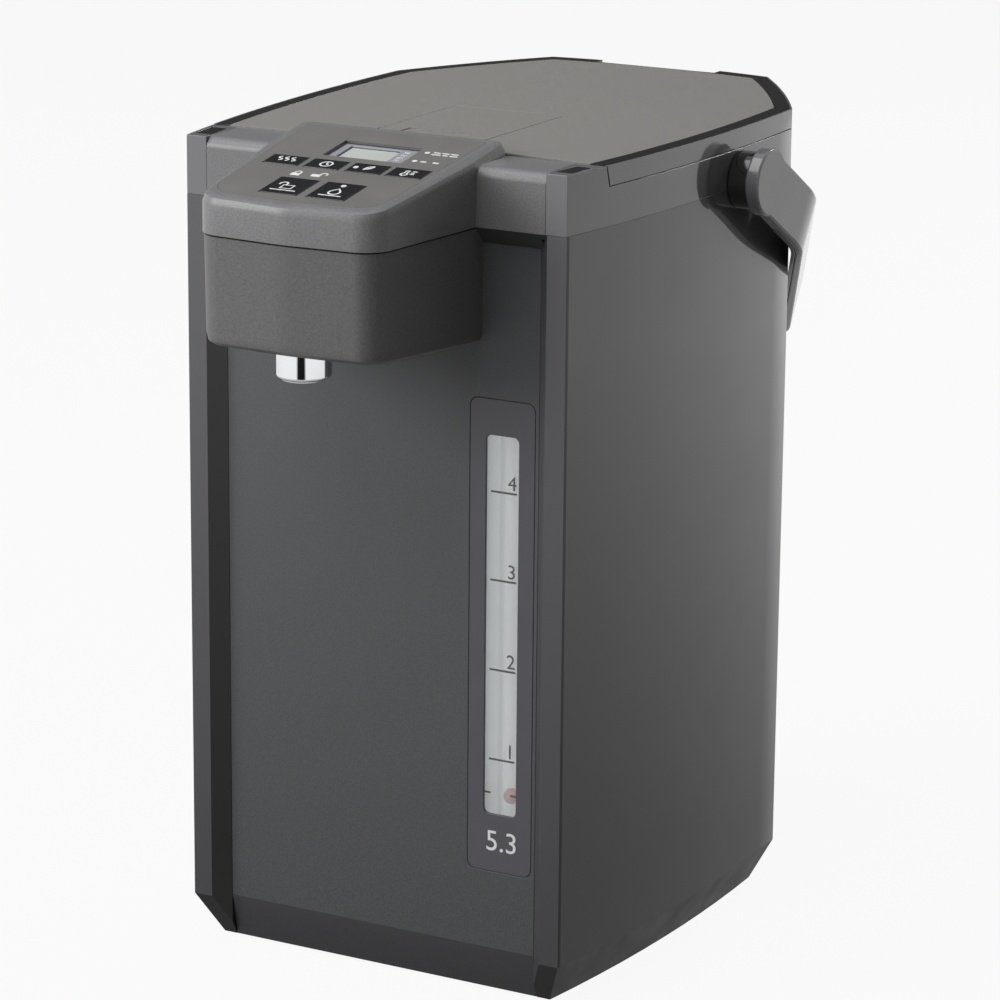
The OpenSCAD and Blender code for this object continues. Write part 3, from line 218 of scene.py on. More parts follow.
class Finish(Graph):
    """A surface finish: one principled shader and the nodes that feed it."""

    def __init__(self, name, colour, roughness, **constants):
        self.material = bpy.data.materials.new(name)
        self.material.use_nodes = True
        super().__init__(self.material.node_tree)
        self.shader = self.tree.nodes["Principled BSDF"]
        self.shader.inputs["Base Color"].default_value = (*colour, 1)
        self.shader.inputs["Roughness"].default_value = roughness
        for socket, value in constants.items():
            self.shader.inputs[socket.replace("_", " ")].default_value = value
        self.material.diffuse_color = (*colour, 1)

    def feed(self, socket, wire):
        self.put(self.shader.inputs[socket], wire)

    def axis(self, letter):
        return self.node("ShaderNodeSeparateXYZ", {}, self.place(), out=letter)

    def noise(self, width, detail=2.0, stretch=(1, 1, 1)):
        """Noise whose blotches are about width across."""
        stretched = self.node("ShaderNodeMapping", {}, self.place(), Scale=stretch)
        return self.node(
            "ShaderNodeTexNoise", {}, Vector=stretched, Scale=0.5 / width, Detail=detail
        )

    def spread(self, noise, start, end):
        """start to end over the range where most of a noise lies."""
        return self.ramp(noise, NOISE_LOW, NOISE_HIGH, start, end)

    def mix(self, share, one, other):
        """Colour between one and other."""
        colours = [c if isinstance(c, Wire) else (*c, 1) for c in (one, other)]
        return self.node(
            "ShaderNodeMix", {"data_type": "RGBA"}, share, *colours, out=MIXED_COLOUR
        )

    def bump(self, height, depth, strength):
        """Relief of that depth, in metres, from a height of 0 to 1."""
        self.feed(
            "Normal",
            self.node("ShaderNodeBump", {}, Strength=strength, Distance=depth, Height=height),
        )

    def mottle(self, colour, amount, width):
        """Slight patchy variation of the base colour."""
        dark, pale = lift(colour, 1 - amount), lift(colour, 1 + amount)
        self.feed("Base Color", self.mix(self.noise(width, 3.0), dark, pale))


def lift(colour, factor):
    """A colour made lighter or darker."""
    return tuple(min(c * factor, 1) for c in colour)


def fade(finish, colour, bottom, top):
    """Painted shade and light: colour that goes from bottom to top times itself up the height of
    the case, darker low down and lighter high up.
    """
    share = finish.ramp(finish.axis("Z"), PAINTED_SHADE_FROM, CASE_TOP)
    return finish.mix(share, lift(colour, bottom), lift(colour, top))


def lacquer_finish(name, colour, bottom, top, coat_roughness=0.035, coat_ior=1.5):
    """Clear-coated lacquer with a faint orange peel; bottom and top paint shade low down and light
    high up.
    """
    finish = Finish(
        name, colour, 0.42, Specular_IOR_Level=0.2, Coat_Weight=1.0,
        Coat_Roughness=coat_roughness, Coat_IOR=coat_ior,
    )
    finish.feed("Base Color", fade(finish, colour, bottom, top))
    finish.feed("Roughness", finish.spread(finish.noise(0.02), 0.38, 0.46))
    finish.bump(finish.noise(0.006, 1.0), 0.00002, 0.35)
    return finish.material


def grained_finish(name, colour, roughness, depth, bottom=1.0, top=1.0, specular=0.4, coat=0.0):
    """Moulded plastic with a fine leather grain; bottom and top paint shade low down and light
    high up.
    """
    sizes = bpy.context.scene.pot_sizes
    finish = Finish(
        name, colour, roughness, Specular_IOR_Level=specular, Coat_Weight=coat, Coat_Roughness=0.25
    )
    speck = finish.noise(sizes.grain, 1.5)
    base = fade(finish, lift(colour, 0.93), bottom, top)
    finish.feed(
        "Base Color",
        finish.mix(finish.ramp(speck, 0.35, 0.65, 0.0, 0.24), base, lift(colour, 1.9)),
    )
    finish.feed("Roughness", finish.spread(speck, roughness - 0.08, roughness + 0.08))
    finish.bump(speck, depth, 0.8)
    return finish.material


def satin_finish(name, colour, roughness, specular, coat=0.0):
    """Smooth moulded plastic with a soft sheen and faint flow marks."""
    finish = Finish(
        name, colour, roughness, Specular_IOR_Level=specular, Coat_Weight=coat, Coat_Roughness=0.12
    )
    finish.mottle(colour, 0.06, 0.012)
    finish.feed(
        "Roughness", finish.spread(finish.noise(0.008), roughness - 0.05, roughness + 0.05)
    )
    finish.bump(finish.noise(0.0016), 0.00002, 0.3)
    return finish.material


def gloss_finish(name, colour, roughness=0.08, coat=0.4):
    """Glossy moulded plastic."""
    finish = Finish(
        name, colour, roughness, Specular_IOR_Level=0.35, Coat_Weight=coat, Coat_Roughness=0.04
    )
    finish.mottle(colour, 0.1, 0.02)
    finish.feed("Roughness", finish.spread(finish.noise(0.01), roughness, roughness + 0.06))
    return finish.material


def metal_finish(name, colour, roughness, stretch=(1, 1, 1), depth=0.000004):
    """Bare metal; a long stretch gives it a brushed direction."""
    finish = Finish(name, colour, roughness, Metallic=1.0)
    lines = finish.noise(0.0006, 3.0, stretch)
    finish.mottle(colour, 0.05, 0.01)
    finish.feed("Roughness", finish.spread(lines, roughness * 0.8, roughness * 1.2))
    finish.bump(lines, depth, 0.4)
    return finish.material


def window_finish(name, colour, alpha, roughness=0.05, glow=0.0):
    """Clear plastic that lets light straight through; glow gives it painted light of its own."""
    finish = Finish(
        name, colour, roughness, Specular_IOR_Level=0.6,
        Emission_Color=(*colour, 1), Emission_Strength=glow,
    )
    finish.feed("Alpha", finish.spread(finish.noise(0.02), alpha - 0.02, alpha + 0.02))
    finish.feed("Roughness", finish.spread(finish.noise(0.01), roughness, roughness + 0.04))
    return finish.material


def printed_finish(name, colour):
    """Ink, with the slight mottle of a screen print."""
    finish = Finish(name, colour, 0.5, Specular_IOR_Level=0.3)
    finish.mottle(colour, 0.05, 0.0008)
    return finish.material


def glow_finish(name, colour, glow):
    """Pale surface with painted light: it glows a little, though it is no lamp."""
    finish = Finish(
        name, colour, 0.5, Specular_IOR_Level=0.3,
        Emission_Color=(*colour, 1), Emission_Strength=glow,
    )
    finish.mottle(colour, 0.04, 0.004)
    return finish.material


def make_finishes(colours):
    """Every finish of the pot, by name."""
    black = colours.black
    return {
        # The case lacquer is darker low down and lighter high up: painted shade and light
        "lacquer": lacquer_finish("case_lacquer", colours.lacquer, 0.8, 1.15),
        # Front-facing faces of the case get a lighter copy of its lacquer: painted light
        "strip": lacquer_finish("lit_strip_lacquer", colours.strip, 0.75, 1.35),
        # The sunk front's left wall, which faces right, gets a darker gloss: painted shade of the
        # recess
        "recess": gloss_finish("painted_shade_recess_wall", tone(39, 39, 41), 0.16, 0.3),
        # Downward-facing top wall of the sunk front: a dark slanted wall, with painted shade for
        # the shadow under the shoulder
        "recess_top": satin_finish("painted_shade_recess_top", tone(52, 52, 54), 0.5, 0.3),
        # Downward-facing faces of the case's bottom chamfer get a near-black copy: painted shade
        "foot": satin_finish("painted_shade_foot", tone(27, 27, 29), 0.35, 0.3),
        # Downward-facing faces of the front panel's foot get a darker copy of its grain: painted
        # shade
        "panel_foot": grained_finish("shaded_panel_foot_grain", tone(50, 50, 52), 0.55, 0.00005),
        # The front panel's grain is darker low down and lighter high up: painted shade and light
        "panel": grained_finish("panel_grain", colours.panel, 0.55, 0.00007, 0.75, 1.15),
        "head": grained_finish("head_grain", colours.head, 0.5, 0.00012, specular=0.25, coat=0.4),
        # The lower head cover is a darker copy of the head's grain: painted shade
        "head_lower": grained_finish(
            "shaded_head_lower_grain", lift(colours.head, 0.74), 0.5, 0.00012, specular=0.25
        ),
        "seam": satin_finish("seam_shadow", tone(20, 20, 21), 0.6, 0.1),
        "shoulder": lacquer_finish("shoulder_lacquer", colours.shoulder, 1.0, 1.0, 0.06),
        # Sides and rear of the shoulder ring: a darker copy of its lacquer, painted shade
        "flank": lacquer_finish("shaded_flank_lacquer", tone(70, 70, 72), 1.0, 1.0, 0.05, 1.68),
        # Sides and rear of the lid cover: a darker copy of its lacquer, painted shade
        "skirt": lacquer_finish("shaded_skirt_lacquer", tone(100, 100, 102), 1.0, 1.0, 0.05, 1.68),
        # A painted dark reflection along the case's rounded front corner
        "corner": gloss_finish("painted_corner_reflection", tone(24, 24, 25), 0.3, 0.1),
        "handle": lacquer_finish("handle_lacquer", colours.shoulder, 1.0, 1.0, 0.1),
        "top": grained_finish("lid_grain", colours.top, 0.5, 0.00006),
        "film": satin_finish("panel_film", colours.film, 0.42, 0.35),
        "black": gloss_finish("gloss_black", black),
        "matt": satin_finish("matt_black", lift(black, 1.2), 0.55, 0.3),
        "key": gloss_finish("key_black", colours.key, 0.22, 0.25),
        "print": printed_finish("pale_print", colours.printing),
        "mark": printed_finish("gauge_print", tone(92, 88, 88)),
        "bezel": satin_finish("bezel_film", tone(84, 83, 88), 0.35, 0.4),
        # The gauge backing glows a little: painted light
        "backing": glow_finish("gauge_backing", tone(206, 208, 208), 0.3),
        # The gauge tube glows a little: painted light
        "tube": window_finish("gauge_tube", tone(230, 232, 232), 0.2, 0.12, 0.3),
        "window": window_finish("gauge_window", tone(200, 202, 203), 0.1),
        "ball": gloss_finish("float_red", colours.ball, 0.25),
        "surround": satin_finish("display_surround", tone(150, 151, 158), 0.4, 0.4),
        # Dark lines round the display: print and painted shade of its sunk walls
        "rim": satin_finish("display_rim_print_and_shade", tone(52, 52, 58), 0.4, 0.3),
        "display": satin_finish("display_face", colours.glass, 0.3, 0.5, 0.4),
        "chrome": metal_finish("spout_chrome", tone(236, 237, 239), 0.06),
        "steel": metal_finish("brushed_steel", tone(186, 186, 190), 0.3, (40, 40, 1), 0.00001),
        "plated": metal_finish("plated_pin", tone(206, 182, 120), 0.25),
        "cast": metal_finish("cast_aluminium", tone(170, 168, 164), 0.5, depth=0.00005),
        "rubber": grained_finish("foot_rubber", tone(28, 28, 29), 0.8, 0.00005),
        "silicone": satin_finish("silicone", tone(196, 195, 190), 0.55, 0.3),
        "board": satin_finish("board_green", tone(38, 92, 58), 0.35, 0.5),
    }


# Materials by finish, from the operator that makes them
FINISH = {}


# ------------------------------------------------------------------ modelling

# Points of a CAD mesh nearer than this, in metres, are one, and its faces are one
# where they meet at less than this, in degrees
WELD_GAP = 2e-6
FLAT_ANGLE = 0.2

# Edges stay sharp over this angle, in degrees, with round edges and without
SHARP_ROUNDED = 60
SHARP_PLAIN = 30


def welded(node):
    """A closed bmesh of a CAD node, with its flat areas joined."""
    shape = bmesh.new()
    shape.from_mesh(frame["nodes"][node].data)
    bmesh.ops.remove_doubles(shape, verts=shape.verts, dist=WELD_GAP)
    bmesh.ops.dissolve_limit(
        shape, angle_limit=radians(FLAT_ANGLE), verts=shape.verts, edges=shape.edges
    )
    return shape


def make_piece(name, shape, finishes, body, **dressing):
    """Turns a bmesh into a piece that rides on a body."""
    mesh = bpy.data.meshes.new(name)
    shape.to_mesh(mesh)
    shape.free()
    for finish in finishes:
        mesh.materials.append(FINISH[finish])
    return dress_mesh(name, mesh, body, **dressing)


def dress_mesh(name, mesh, body, slot=None, edge=0.0, segments=2, angle=28):
    """Turns a mesh into a piece with smooth shading and, where asked, round edges."""
    mesh.polygons.foreach_set("use_smooth", [True] * len(mesh.polygons))
    piece = bpy.data.objects.new(name, mesh)
    bpy.context.scene.collection.objects.link(piece)
    if edge:
        rounding = piece.modifiers.new("rounded edges", "BEVEL")
        rounding.width = edge
        rounding.segments = segments
        rounding.limit_method = "ANGLE"
        rounding.angle_limit = radians(angle)
        rounding.miter_outer = "MITER_ARC"
    mesh.set_sharp_from_angle(angle=radians(SHARP_ROUNDED if edge else SHARP_PLAIN))
    weighting = piece.modifiers.new("flat faces", "WEIGHTED_NORMAL")
    weighting.keep_sharp = True
    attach(piece, body)
    return piece


def soften(node, finishes, edge, zones=(), cut=None, **rounding):
    """Replaces a CAD node by a copy with rounded edges. Each zone is a test that
    gives a face the next finish. A cut, a place and a normal, parts faces first."""
    shape = welded(node)
    if cut:
        bmesh.ops.bisect_plane(
            shape, geom=[*shape.verts, *shape.edges, *shape.faces], dist=1e-7,
            plane_co=cut[0], plane_no=cut[1],
        )
    for number, zone in enumerate(zones, 1):
        for face in shape.faces:
            if zone(face.calc_center_median(), face.normal):
                face.material_index = number
    piece = make_piece(
        node + "_finished", shape, finishes, BODY_OF[node],
        slot=SLOT_OF[node], edge=edge, **rounding,
    )
    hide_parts(node)


def paint(finish, *nodes):
    """Gives CAD nodes a finish as they are."""
    for node in nodes:
        for place in frame["nodes"][node].material_slots:
            place.material = FINISH[finish]


def on_panel(x, y, height=SHEET_TOP):
    """Place on the control panel: across, back along the slope, and out of it."""
    return (
        Matrix.Translation(PANEL_REAR)
        @ Matrix.Rotation(PANEL_SLOPE, 4, "X")
        @ Matrix.Translation(Vector((x, y, height)))
    )


def facing_front(x, y, z):
    """Place on the front, for a shape drawn flat with x across and y up."""
    return Matrix.Translation(Vector((x, y, z))) @ Matrix.Rotation(pi / 2, 4, "X")


def curve_mesh(name, curve):
    """The mesh of a curve or text, without its object."""
    holder = bpy.data.objects.new(name + "_curve", curve)
    bpy.context.scene.collection.objects.link(holder)
    bpy.context.view_layer.update()
    mesh = bpy.data.meshes.new_from_object(
        holder.evaluated_get(bpy.context.evaluated_depsgraph_get())
    )
    bpy.data.objects.remove(holder)
    mesh.name = name
    return mesh


# Height of a figure as a share of the font's size, how far half of the printed
# ink's thickness reaches, and how flat a drawn line is
CAPITAL = 0.72
INK = 0.00003
FLATTENED = 0.15


def lettering(name, words, height, place, finish, body, align="CENTER"):
    """Thin printed characters, with their baseline at a place."""
    text = bpy.data.curves.new(name, "FONT")
    text.body = words
    text.size = height / CAPITAL
    text.align_x = align
    text.extrude = INK
    text.resolution_u = 6
    mesh = curve_mesh(name, text)
    mesh.transform(place)
    mesh.materials.clear()
    mesh.materials.append(FINISH[finish])
    dress_mesh(name, mesh, body)


def drawn(name, lines, width, place, finish, body):
    """Printed line work: open or closed runs of points, in metres."""
    curve = bpy.data.curves.new(name, "CURVE")
    curve.dimensions = "3D"
    curve.bevel_depth = width / 2
    curve.bevel_resolution = 1
    curve.use_fill_caps = True
    for points, closed in lines:
        run = curve.splines.new("POLY")
        run.points.add(len(points) - 1)
        for point, (x, y) in zip(run.points, points):
            point.co = (x, y, 0, 1)
        run.use_cyclic_u = closed
    mesh = curve_mesh(name, curve)
    mesh.transform(place @ Matrix.Diagonal((1, 1, FLATTENED, 1)))
    mesh.materials.clear()
    mesh.materials.append(FINISH[finish])
    dress_mesh(name, mesh, body)


def dot(name, place, radius, thick, finish, body):
    """A flat round dot, a little narrower at its top."""
    shape = bmesh.new()
    bmesh.ops.create_cone(
        shape, cap_ends=True, segments=24, radius1=radius, radius2=radius * 0.92,
        depth=thick, matrix=place,
    )
    make_piece(name, shape, [finish], body)


def arc(x, y, radius, start, end, steps):
    """Points of an arc, with its angles in degrees."""
    return [
        (x + radius * cos(radians(start + (end - start) * i / steps)),
         y + radius * sin(radians(start + (end - start) * i / steps)))
        for i in range(steps + 1)
    ]


def millimetres(lines):
    """Runs of points given in millimetres, in metres."""
    return [([(x * MM, y * MM) for x, y in points], closed) for points, closed in lines]


# ------------------------------------------------------------------ pieces


class PotOperator:
    """What the operators share"""

    bl_options = {"REGISTER", "UNDO"}

    def execute(self, context):
        self.build(context.scene.pot_sizes, context.scene.pot_colours)
        return {"FINISHED"}


class POT_OT_finishes(PotOperator, bpy.types.Operator):
    """Makes the materials of every finish"""

    bl_idname = "pot.finishes"
    bl_label = "Finishes"

    def build(self, sizes, colours):
        FINISH.update(make_finishes(colours))


class POT_OT_case(PotOperator, bpy.types.Operator):
    """Dresses the case, the front panel and the power inlet"""

    bl_idname = "pot.case"
    bl_label = "Case"

    def build(self, sizes, colours):
        def in_recess(centre):
            return abs(centre.x) < RECESS_X and centre.y < RECESS_BACK

        # Left wall of the sunk front, facing right, which gets the painted shade of the recess
        def is_recess(centre, normal):
            return in_recess(centre) and centre.z > FOOT_TOP and normal.x > 0.3

        # Downward-facing top wall of the sunk front, which gets painted shade on top of its dark
        # tone
        def is_recess_top(centre, normal):
            return in_recess(centre) and centre.z > RECESS_TOP and normal.z < -0.3

        # The thin band at the front corner that gets the painted dark reflection
        def is_corner(centre, normal):
            return centre.y < CORNER_Y and abs(centre.x) > CORNER_X and abs(normal.x) > 0.5

        # Downward-facing faces of the bottom chamfer, which get painted shade
        def is_foot(centre, normal):
            return centre.z < FOOT_TOP and normal.z < -0.1

        # Front-facing faces of the case, which get the lighter lacquer copy as painted light
        def is_strip(centre, normal):
            return normal.y < -0.3 and centre.y < RECESS_BACK and centre.z > FOOT_TOP

        soften(
            "outer_case", ["lacquer", "strip", "recess", "recess_top", "corner", "foot"],
            sizes.case_edge, [is_strip, is_recess, is_recess_top, is_corner, is_foot],
            segments=3, cut=((0, CORNER_Y, 0), (0, 1, 0)),
        )
        # The front panel's downward-facing foot gets the painted-shade copy of its grain
        soften("front_panel", ["panel", "panel_foot"], sizes.seam, [is_foot])
        soften("power_inlet", ["matt"], sizes.head_edge)
        paint("plated", "inlet_pins")
        paint("matt", "bottom_plate", "turntable_retainer")


class POT_OT_base(PotOperator, bpy.types.Operator):
    """Dresses the swivel base"""

    bl_idname = "pot.base"
    bl_label = "Swivel base"

    def build(self, sizes, colours):
        paint("matt", "turntable_ring")
        paint("rubber", "foot_ring")
        paint("steel", "bottom_screws")


def is_flank(centre, normal):
    """Outer sides and rear, under the top edge, which get a darker copy of the lacquer than the
    front and top: painted shade.
    """
    return abs(normal.z) < 0.5 and (abs(normal.x) > 0.6 or normal.y > 0.5)


class POT_OT_shoulder(PotOperator, bpy.types.Operator):
    """Dresses the shoulder ring and its trim"""

    bl_idname = "pot.shoulder"
    bl_label = "Shoulder"

    def build(self, sizes, colours):
        # The ring's sides and rear get the painted-shade copy of its lacquer
        soften("shoulder_ring", ["shoulder", "flank"], sizes.case_edge, [is_flank], segments=3)
        soften("shoulder_trim", ["black"], sizes.seam)


class POT_OT_head(PotOperator, bpy.types.Operator):
    """Dresses the control head's covers and its printed film"""

    bl_idname = "pot.head"
    bl_label = "Control head"

    def build(self, sizes, colours):
        soften("head_upper_cover", ["head"], sizes.head_edge, segments=3, angle=35)
        # The lower cover gets the painted-shade copy of the head grain
        soften(
            "head_lower_cover", ["head_lower", "seam"], sizes.head_edge,
            [lambda centre, normal: centre.z > CASE_TOP - SEAM], segments=3, angle=35,
            cut=((0, 0, CASE_TOP - SEAM), (0, 0, 1)),
        )
        paint("film", "control_sheet")


KEY_PLACES = {
    "key_reboil": (-0.02832, -0.045),
    "key_timer": (-0.00832, -0.045),
    "key_eco": (0.01188, -0.045),
    "key_temperature": (0.03148, -0.045),
    "key_unlock": (-0.0094, -0.0736),
    "key_dispense": (0.0134, -0.0736),
}

# Line work of the keys, in millimetres from the middle of the key
KEY_MARKS = {
    "key_reboil": [
        (arc(x, 0, 1.1, 90, -90, 6)[::-1] + arc(x, 2.2, 1.1, -90, -270, 6), False)
        for x in (-3.2, 0, 3.2)
    ],
    "key_timer": [(arc(0, 0, 2.7, 0, 345, 24), True), ([(0, 1.7), (0, 0), (1.3, -0.8)], False)],
    "key_eco": [(arc(2.2, -0.6, 3.4, 100, 190, 10) + arc(-1.6, 2.2, 3.4, -80, 10, 10), True),
                ([(-1.4, -1.9), (1.6, 1.7)], False)],
    "key_temperature": [(arc(-1.2, -1.8, 1.4, 120, 420, 16) + [(-0.5, 2.4), (-1.9, 2.4)], True),
                        ([(1.2, 2), (3.4, 2)], False), ([(1.2, 0.4), (2.8, 0.4)], False),
                        ([(1.2, -1.2), (3.4, -1.2)], False)],
    "key_unlock": [([(-2.6, -3.4), (2.6, -3.4), (2.6, 0.4), (-2.6, 0.4)], True),
                   ([(-1.7, 0.4)] + arc(-3.4, 1.8, 1.7, 0, 180, 10) + [(-5.1, 0.6)], False),
                   ([(-6.2, -5.4), (6.2, -5.4)], False)],
    "key_dispense": [([(0, 2.8)] + arc(0, -1.6, 2.5, 35, -215, 22), True),
                     ([(-5.4, -5.6), (5.4, -5.6)], False)],
}


KEY_EDGE = 0.0005

# Signal lamps in the keys: place from the middle of the key, radius, thickness
KEY_LAMPS = {"key_eco": (-0.0058, 0.0), "key_dispense": (0.0, 0.0062)}
LAMP_RADIUS = 0.0013
LAMP_THICK = 0.0002


class POT_OT_keys(PotOperator, bpy.types.Operator):
    """Dresses the keys and prints a plain sign on each"""

    bl_idname = "pot.keys"
    bl_label = "Keys"

    def build(self, sizes, colours):
        for node, (x, y) in KEY_PLACES.items():
            soften(node, ["key"], KEY_EDGE, segments=3)
            drawn(
                node + "_sign", millimetres(KEY_MARKS[node]), sizes.stroke,
                on_panel(x, y, KEY_TOP), "print", BODY_OF[node],
            )
        for node, (x, y) in KEY_LAMPS.items():
            key = KEY_PLACES[node]
            dot(
                node + "_lamp", on_panel(key[0] + x, key[1] + y, KEY_TOP), LAMP_RADIUS,
                LAMP_THICK, "print", BODY_OF[node],
            )


DISPLAY_EDGE = 0.0003
LENS_EDGE = 0.00015

# Dark lines round the display and its window, part print and part painted shade of the
# sunk display's walls: middle, size, width of the line and height off the film, in millimetres
BORDERS = {
    "display_edge": ((2.6, -24.8), (38, 19.2), 1.5, -0.45),
    "lens_edge": ((0.4, -24.8), (24.6, 13.6), 0.8, -1.15),
}

# Figures beside the display, from the rear, and their place in metres
PRESETS = ("98", "90", "80", "70")
PRESET_PLACE = (0.0164, -0.0208, -0.00045)
PRESET_PITCH = 0.0033
PRESET_HEIGHT = 0.0021

# Marks of the film, in millimetres across and back from the panel's rear edge
LONG_LABEL = [([(x, y), (x + length, y)], False) for x, y, length in (
    (28.8, -18.4, 3.2), (32.9, -18.4, 3.6), (37.2, -18.4, 3.4),
    (28.8, -20.7, 4.4), (34.1, -20.7, 2.6), (37.5, -20.7, 3.9),
)]
SHORT_LABEL = [([(28.9, -30.2), (31.6, -30.2)], False), ([(34.8, -30.2), (37.6, -30.2)], False)]
LOCK_BODIES = [([(-16.9, -59.5), (-12.5, -59.5)], False), ([(-7.4, -58.6), (-3.0, -58.6)], False)]
LOCK_SHACKLES = [
    ([(-16.1, -58.2)] + arc(-14.7, -57.2, 1.4, 180, 0, 8) + [(-13.3, -58.2)], False),
    ([(-3.8, -57.4)] + arc(-2.4, -56.6, 1.4, 180, 0, 8) + [(-1.0, -57.6)], False),
]

# Each group of marks, with the width of its lines in millimetres
FILM_MARKS = {
    "lamp_label_long": (1.1, LONG_LABEL),
    "lamp_label_short": (1.4, SHORT_LABEL),
    "lock_bodies": (2.8, LOCK_BODIES),
    "lock_shackles": (0.8, LOCK_SHACKLES),
}


class POT_OT_display(PotOperator, bpy.types.Operator):
    """Dresses the display and prints the marks beside it"""

    bl_idname = "pot.display"
    bl_label = "Display"

    def build(self, sizes, colours):
        soften("display_frame", ["surround"], DISPLAY_EDGE)
        soften("display_lens", ["display"], LENS_EDGE)
        paint("print", "indicator_lenses")
        for name, border in BORDERS.items():
            self.border(name, *border)
        x, y, height = PRESET_PLACE
        for number, figure in enumerate(PRESETS):
            lettering(
                "preset_" + figure, figure, PRESET_HEIGHT,
                on_panel(x, y - PRESET_PITCH * number, height), "print", "pot",
            )
        for name, (width, lines) in FILM_MARKS.items():
            drawn(name, millimetres(lines), width * MM, on_panel(0, 0), "print", "pot")

    def border(self, name, middle, size, width, height):
        """A dark line just inside a rectangle: print and painted shade."""
        across, along = ((length - width) / 2 for length in size)
        x, y = middle
        corners = [(x - across, y - along), (x + across, y - along),
                   (x + across, y + along), (x - across, y + along)]
        drawn(
            name, millimetres([(corners, True)]), width * MM, on_panel(0, 0, height * MM),
            "rim", "pot",
        )


NOZZLE_EDGE = 0.0004


class POT_OT_spout(PotOperator, bpy.types.Operator):
    """Dresses the spout"""

    bl_idname = "pot.spout"
    bl_label = "Spout"

    def build(self, sizes, colours):
        soften("spout_nozzle", ["chrome"], NOZZLE_EDGE, segments=3, angle=35)
        paint("silicone", "discharge_pipe")


# The gauge's middle, the fronts of its window and its film, and the gap to the print
GAUGE_X = 0.0603
LENS_FRONT = -0.1315
BEZEL_FRONT = -0.1329
PRINT_GAP = 0.00006

# Heights of the scale: the litres from 1 up, the refill mark and the capacity
LITRE_Z = (0.1093, 0.1501, 0.1905, 0.2299)
REFILL_Z = 0.0938
CAPACITY_Z = 0.0677

# Lines of the scale, in millimetres from the gauge's middle
LITRE_LINE = [([(-6.2, 0), (6.5, 0)], False)]
REFILL_LINE = [([(-7.9, 0), (-5.2, 0)], False), ([(4.6, 0), (7.9, 0)], False)]

# Figures of the scale: where a litre's ends and how far it stands over its line,
# and the capacity's offset and height
LITRE_RIGHT = GAUGE_X + 0.0065
LITRE_RISE = 0.0014
CAPACITY_X = GAUGE_X + 0.0012
CAPACITY_HEIGHT = 0.0096


class POT_OT_gauge(PotOperator, bpy.types.Operator):
    """Dresses the water gauge and prints its scale"""

    bl_idname = "pot.gauge"
    bl_label = "Water gauge"

    def build(self, sizes, colours):
        soften("gauge_bezel", ["bezel"], sizes.seam)
        paint("window", "gauge_lens")
        paint("backing", "gauge_backing")
        paint("tube", "gauge_tube")
        paint("ball", "gauge_ball")
        front = LENS_FRONT - PRINT_GAP
        for number, z in enumerate(LITRE_Z, 1):
            drawn(
                f"litre_line_{number}", millimetres(LITRE_LINE), sizes.stroke,
                facing_front(GAUGE_X, front, z), "mark", "pot",
            )
            lettering(
                f"litre_{number}", str(number), sizes.digit,
                facing_front(LITRE_RIGHT, front, z + LITRE_RISE), "mark", "pot", "RIGHT",
            )
        drawn(
            "refill_line", millimetres(REFILL_LINE), sizes.stroke,
            facing_front(GAUGE_X, front, REFILL_Z), "mark", "pot",
        )
        lettering(
            "capacity", "5.3", CAPACITY_HEIGHT,
            facing_front(CAPACITY_X, BEZEL_FRONT - PRINT_GAP, CAPACITY_Z), "print", "pot",
        )


class POT_OT_lid(PotOperator, bpy.types.Operator):
    """Dresses the lid, its lever and what it carries underneath"""

    bl_idname = "pot.lid"
    bl_label = "Lid"

    def build(self, sizes, colours):
        # The lid cover's sides and rear get the painted-shade copy of its lacquer
        soften(
            "lid_cover", ["shoulder", "skirt"], sizes.lid_edge, [is_flank],
            segments=3, angle=40,
        )
        soften("lid_top_plate", ["top"], sizes.seam)
        soften("lid_border", ["black"], sizes.seam)
        soften("lid_lever", ["top"], sizes.seam)
        soften("hinge_cover", ["black"], sizes.seam)
        paint("matt", "lid_inner_cover", "steam_valve", "lid_latch")
        paint("steel", "lid_inner_plate", "lever_pin", "hinge_pin")
        paint("silicone", "lid_gasket")


class POT_OT_handle(PotOperator, bpy.types.Operator):
    """Dresses the carrying handle"""

    bl_idname = "pot.handle"
    bl_label = "Handle"

    def build(self, sizes, colours):
        soften("handle_bail", ["handle"], sizes.handle_edge, segments=3, angle=40)
        soften("handle_liner", ["black"], sizes.seam)
        soften("handle_bosses", ["black"], sizes.head_edge, segments=3)
        paint("steel", "handle_pins")


class POT_OT_inside(PotOperator, bpy.types.Operator):
    """Dresses the vessel, the pump and the boards"""

    bl_idname = "pot.inside"
    bl_label = "Inside"

    def build(self, sizes, colours):
        paint("steel", "vessel_inner", "vessel_jacket", "pump_motor")
        paint("matt", "mouth_guard", "vessel_support")
        paint("cast", "heater_plate")
        paint("plated", "temperature_sensor")
        paint("silicone", "inlet_hose", "outlet_hose", "pump_housing", "pump_impeller")
        paint("board", "power_board", "control_board")


# ------------------------------------------------------------------ studio

CAMERA_PLACE = Vector((0.8917, -1.6483, 0.6908))
CAMERA_PITCH = radians(15.02)
CAMERA_YAW = radians(28.78)
CAMERA_ROLL = radians(0.50)
CAMERA_LENS = 150.63
CAMERA_SENSOR = 36
CAMERA_NEAR = 0.05

# Lamps; gloss tells whether glossy surfaces reflect the lamp
LAMPS = [
    dict(name="softbox_top", place=(-0.3, -0.6, 1.6), aim=(0, 0, 0.3),
         width=1.2, height=1.2, power=14, gloss=True),
    dict(name="softbox_front_left", place=(-1.3, -1.4, 0.9), aim=(0, 0, 0.2),
         width=1.0, height=1.0, power=26, gloss=True),
    dict(name="softbox_rear", place=(0.2, 1.7, 1.4), aim=(0, 0, 0.25),
         width=1.2, height=1.0, power=7, gloss=False),
    dict(name="strip_rear", place=(0.53, 1.74, 1.3), aim=(0, 0, 0.35),
         width=0.45, height=0.45, power=8, gloss=True),
]

